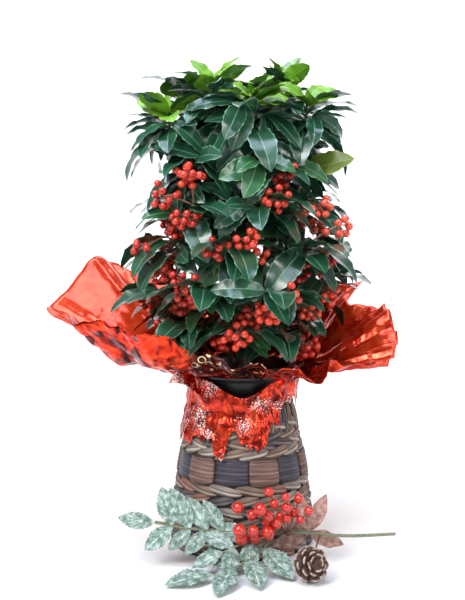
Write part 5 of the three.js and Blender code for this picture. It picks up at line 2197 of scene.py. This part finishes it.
    def petals(self) -> None:
        """Makes the gauze petals behind the stem."""
        batch, sheet = Batch(), blade_stamp(np.linspace(-1, 1, 13), 20, True)
        hub, front = self.beside_stem(self.petals_share, self.stem_radius + GAP + 2.8), np.array([0, -1.0, 0])
        for angle in self.petal_angles:
            turn = math.radians(angle)
            heading = unit(np.array([math.cos(turn), 0.08, math.sin(turn)]))
            normal = unit(front - heading * front.dot(heading))
            leaf = Leaf(hub, heading, normal, 0.3, self.petal_length, self.petal_width)
            batch.add(sheet, dressed_blade(sheet, leaf, 0.2, 1.8))
        piece_of(batch.mesh("pick_petals_gauze"), "gauze", (GAUZE,), "pick_petals")

    def pine_cone(self) -> None:
        """Makes the cone: scales with pale thick tips on a spiral round a core, and its wire."""
        batch, scale = Batch(), self.scale_stamp()
        core, wire = Stamp.take(ball(16, 10, self.cone_radius * 0.62)), Stamp.take(rod(8, 6))
        tilt, spin = math.radians(self.cone_tilt), math.radians(self.cone_spin)
        turn_to = np.array(Matrix.Rotation(spin, 3, "Z") @ Matrix.Rotation(tilt, 3, "X")).T
        batch.add(core, core.corners * [1, 1, 1.2] @ turn_to + self.cone)
        step, run, lift = scale.corners.T
        along = (run + 1) / 2
        half = self.scale_width / 2 * (0.35 + 0.65 * np.sin(along * 2.1) ** 0.8)
        for k in range(self.cone_scales):
            slope = lerp(0.2, 2.6, (k + 0.5) / self.cone_scales)
            x, y = math.cos(k * GOLDEN), math.sin(k * GOLDEN)
            out = np.array([math.sin(slope) * x, math.sin(slope) * y, math.cos(slope)])
            normal = -np.cross([-y, x, 0.0], out)
            length = self.cone_radius * lerp(0.76, 0.93, math.sin(slope))
            leaf = Leaf(out * self.cone_radius * 0.3, out, normal, 0.5, length, self.scale_width)
            places = leaf.places(along, step * half, lift * lerp(0.6, 1.5, along**2))
            batch.add(scale, places @ turn_to + self.cone)
        start = self.beside_stem(self.cone_share, -(self.stem_radius + GAP + 0.7))
        batch.tube(wire, Curve(start, self.cone), lambda share: 1.0 - 0.2 * share, 2)
        mesh = batch.mesh("pine_cone_scales")
        piece_of(mesh, "cone_scale", (SCALE_WOOD, SCALE_TIP, DARK_WIRE), "pine_cone")

    def scale_stamp(self) -> Stamp:
        """Makes one cone scale, whose outer end has a finish of its own.

        Returns:
            The stamp: Y runs from the core out.
        """
        shape = pillow(4, 2.6)
        for face in shape.faces:
            face.material_index = 1 if face.calc_center_median().y > 0.74 else 0
        return Stamp.take(shape)

    def build(self) -> None:
        """Makes the pick's pieces."""
        self.wrapped_stem()
        self.foliage()
        self.berries()
        self.petals()
        self.pine_cone()


# The studio.


@dataclass(frozen=True)
class Lamp:
    """A soft square lamp: where it hangs and what it looks at, in metres, its size, power and tint."""

    name: str
    place: tuple[float, float, float]
    target: tuple[float, float, float]
    size: float
    power: float
    tint: str = "#ffffff"


@dataclass
class Studio:
    """A pale floor that curves up behind the plant, soft lamps and the camera."""

    lens: float = 60.72
    camera: tuple[float, float, float] = (0.0, -1.18, 0.385)
    shift: tuple[float, float] = (-9.5 / 600, -92 / 600)
    width: float = 6000.0
    length: float = 5200.0
    level_run: float = 3200.0
    bend_run: float = 942.0
    bend_radius: float = 600.0
    before: float = 1900.0
    air: str = "#dbe4ee"
    air_strength: float = 0.35
    lamps: tuple[Lamp, ...] = (
        Lamp("key", (-1.1, -1.5, 1.7), (0, 0, 0.3), 1.0, 40),
        Lamp("fill", (1.7, -1.1, 0.9), (0, 0, 0.3), 1.2, 13),
        Lamp("top", (-0.2, -0.35, 1.7), (0, 0, 0.3), 1.2, 27, "#d3e4ff"),
        Lamp("glint", (0.55, -1.5, 1.25), (0, 0, 0.3), 0.22, 4.5),
        Lamp("backdrop", (0.0, 0.9, 2.0), (0, 2.4, 0.6), 1.6, 40),
    )

    def sweep_at(self, u: Array, v: Array) -> Array:
        """Gives places on the floor and on the wall that it curves up to.

        Args:
            u: Shares across it.
            v: Shares of the way back and up.

        Returns:
            The places.
        """
        run = v * self.length
        bend = np.clip((run - self.level_run) / self.bend_run, 0, 1) * math.pi / 2
        depth = np.minimum(run, self.level_run) + self.bend_radius * np.sin(bend) - self.before
        wall = np.maximum(run - self.level_run - self.bend_run, 0)
        height = self.bend_radius * (1 - np.cos(bend)) + wall
        return np.stack([(u - 0.5) * self.width, depth, height], 1)

    def sweep(self) -> None:
        """Makes the floor and wall."""
        mesh = mesh_of(field_of(2, 60, self.sweep_at), "studio_floor")
        mesh.materials.append(STUDIO_PAINT.material())
        floor = bpy.data.objects.new("studio_floor", mesh)
        bpy.context.scene.collection.objects.link(floor)

    def light(self) -> None:
        """Hangs the lamps and sets the dim surroundings that metal reflects."""
        for lamp in self.lamps:
            data = bpy.data.lights.new(lamp.name, "AREA")
            data.shape, data.size, data.energy = "SQUARE", lamp.size, lamp.power
            data.color = colour(lamp.tint)[:3]
            made = bpy.data.objects.new(lamp.name, data)
            made.location = lamp.place
            way = Vector(lamp.target) - Vector(lamp.place)
            made.rotation_euler = way.to_track_quat("-Z", "Y").to_euler()
            bpy.context.scene.collection.objects.link(made)
        bpy.context.scene.view_settings.view_transform = "Standard"
        world = bpy.data.worlds.new("studio")
        world.use_nodes = True
        background = world.node_tree.nodes["Background"]
        background.inputs[0].default_value = colour(self.air)
        background.inputs[1].default_value = self.air_strength
        bpy.context.scene.world = world

    def frame_view(self) -> None:
        """Sets up the camera at the photo's height, level, and shifted to frame the plant."""
        data = bpy.data.cameras.new("camera")
        data.lens, data.sensor_width, data.clip_end = self.lens, 36, 20
        data.shift_x, data.shift_y = self.shift
        made = bpy.data.objects.new("camera", data)
        made.location, made.rotation_euler = self.camera, (math.pi / 2, 0, 0)
        bpy.context.scene.collection.objects.link(made)
        bpy.context.scene.camera = made

    def build(self) -> None:
        """Makes the floor, lamps and camera."""
        self.sweep()
        self.light()
        self.frame_view()


def main() -> None:
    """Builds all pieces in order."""
    logging.basicConfig(level=logging.INFO, format="%(message)s")
    basket, pot = Basket(), GrowersPot()
    film = FilmWrap(basket, pot)
    for part in (basket, pot, PeatFill(pot), film, Shrub(film), WinterPick(), Studio()):
        part.build()


if __name__ == "__main__":
    main()
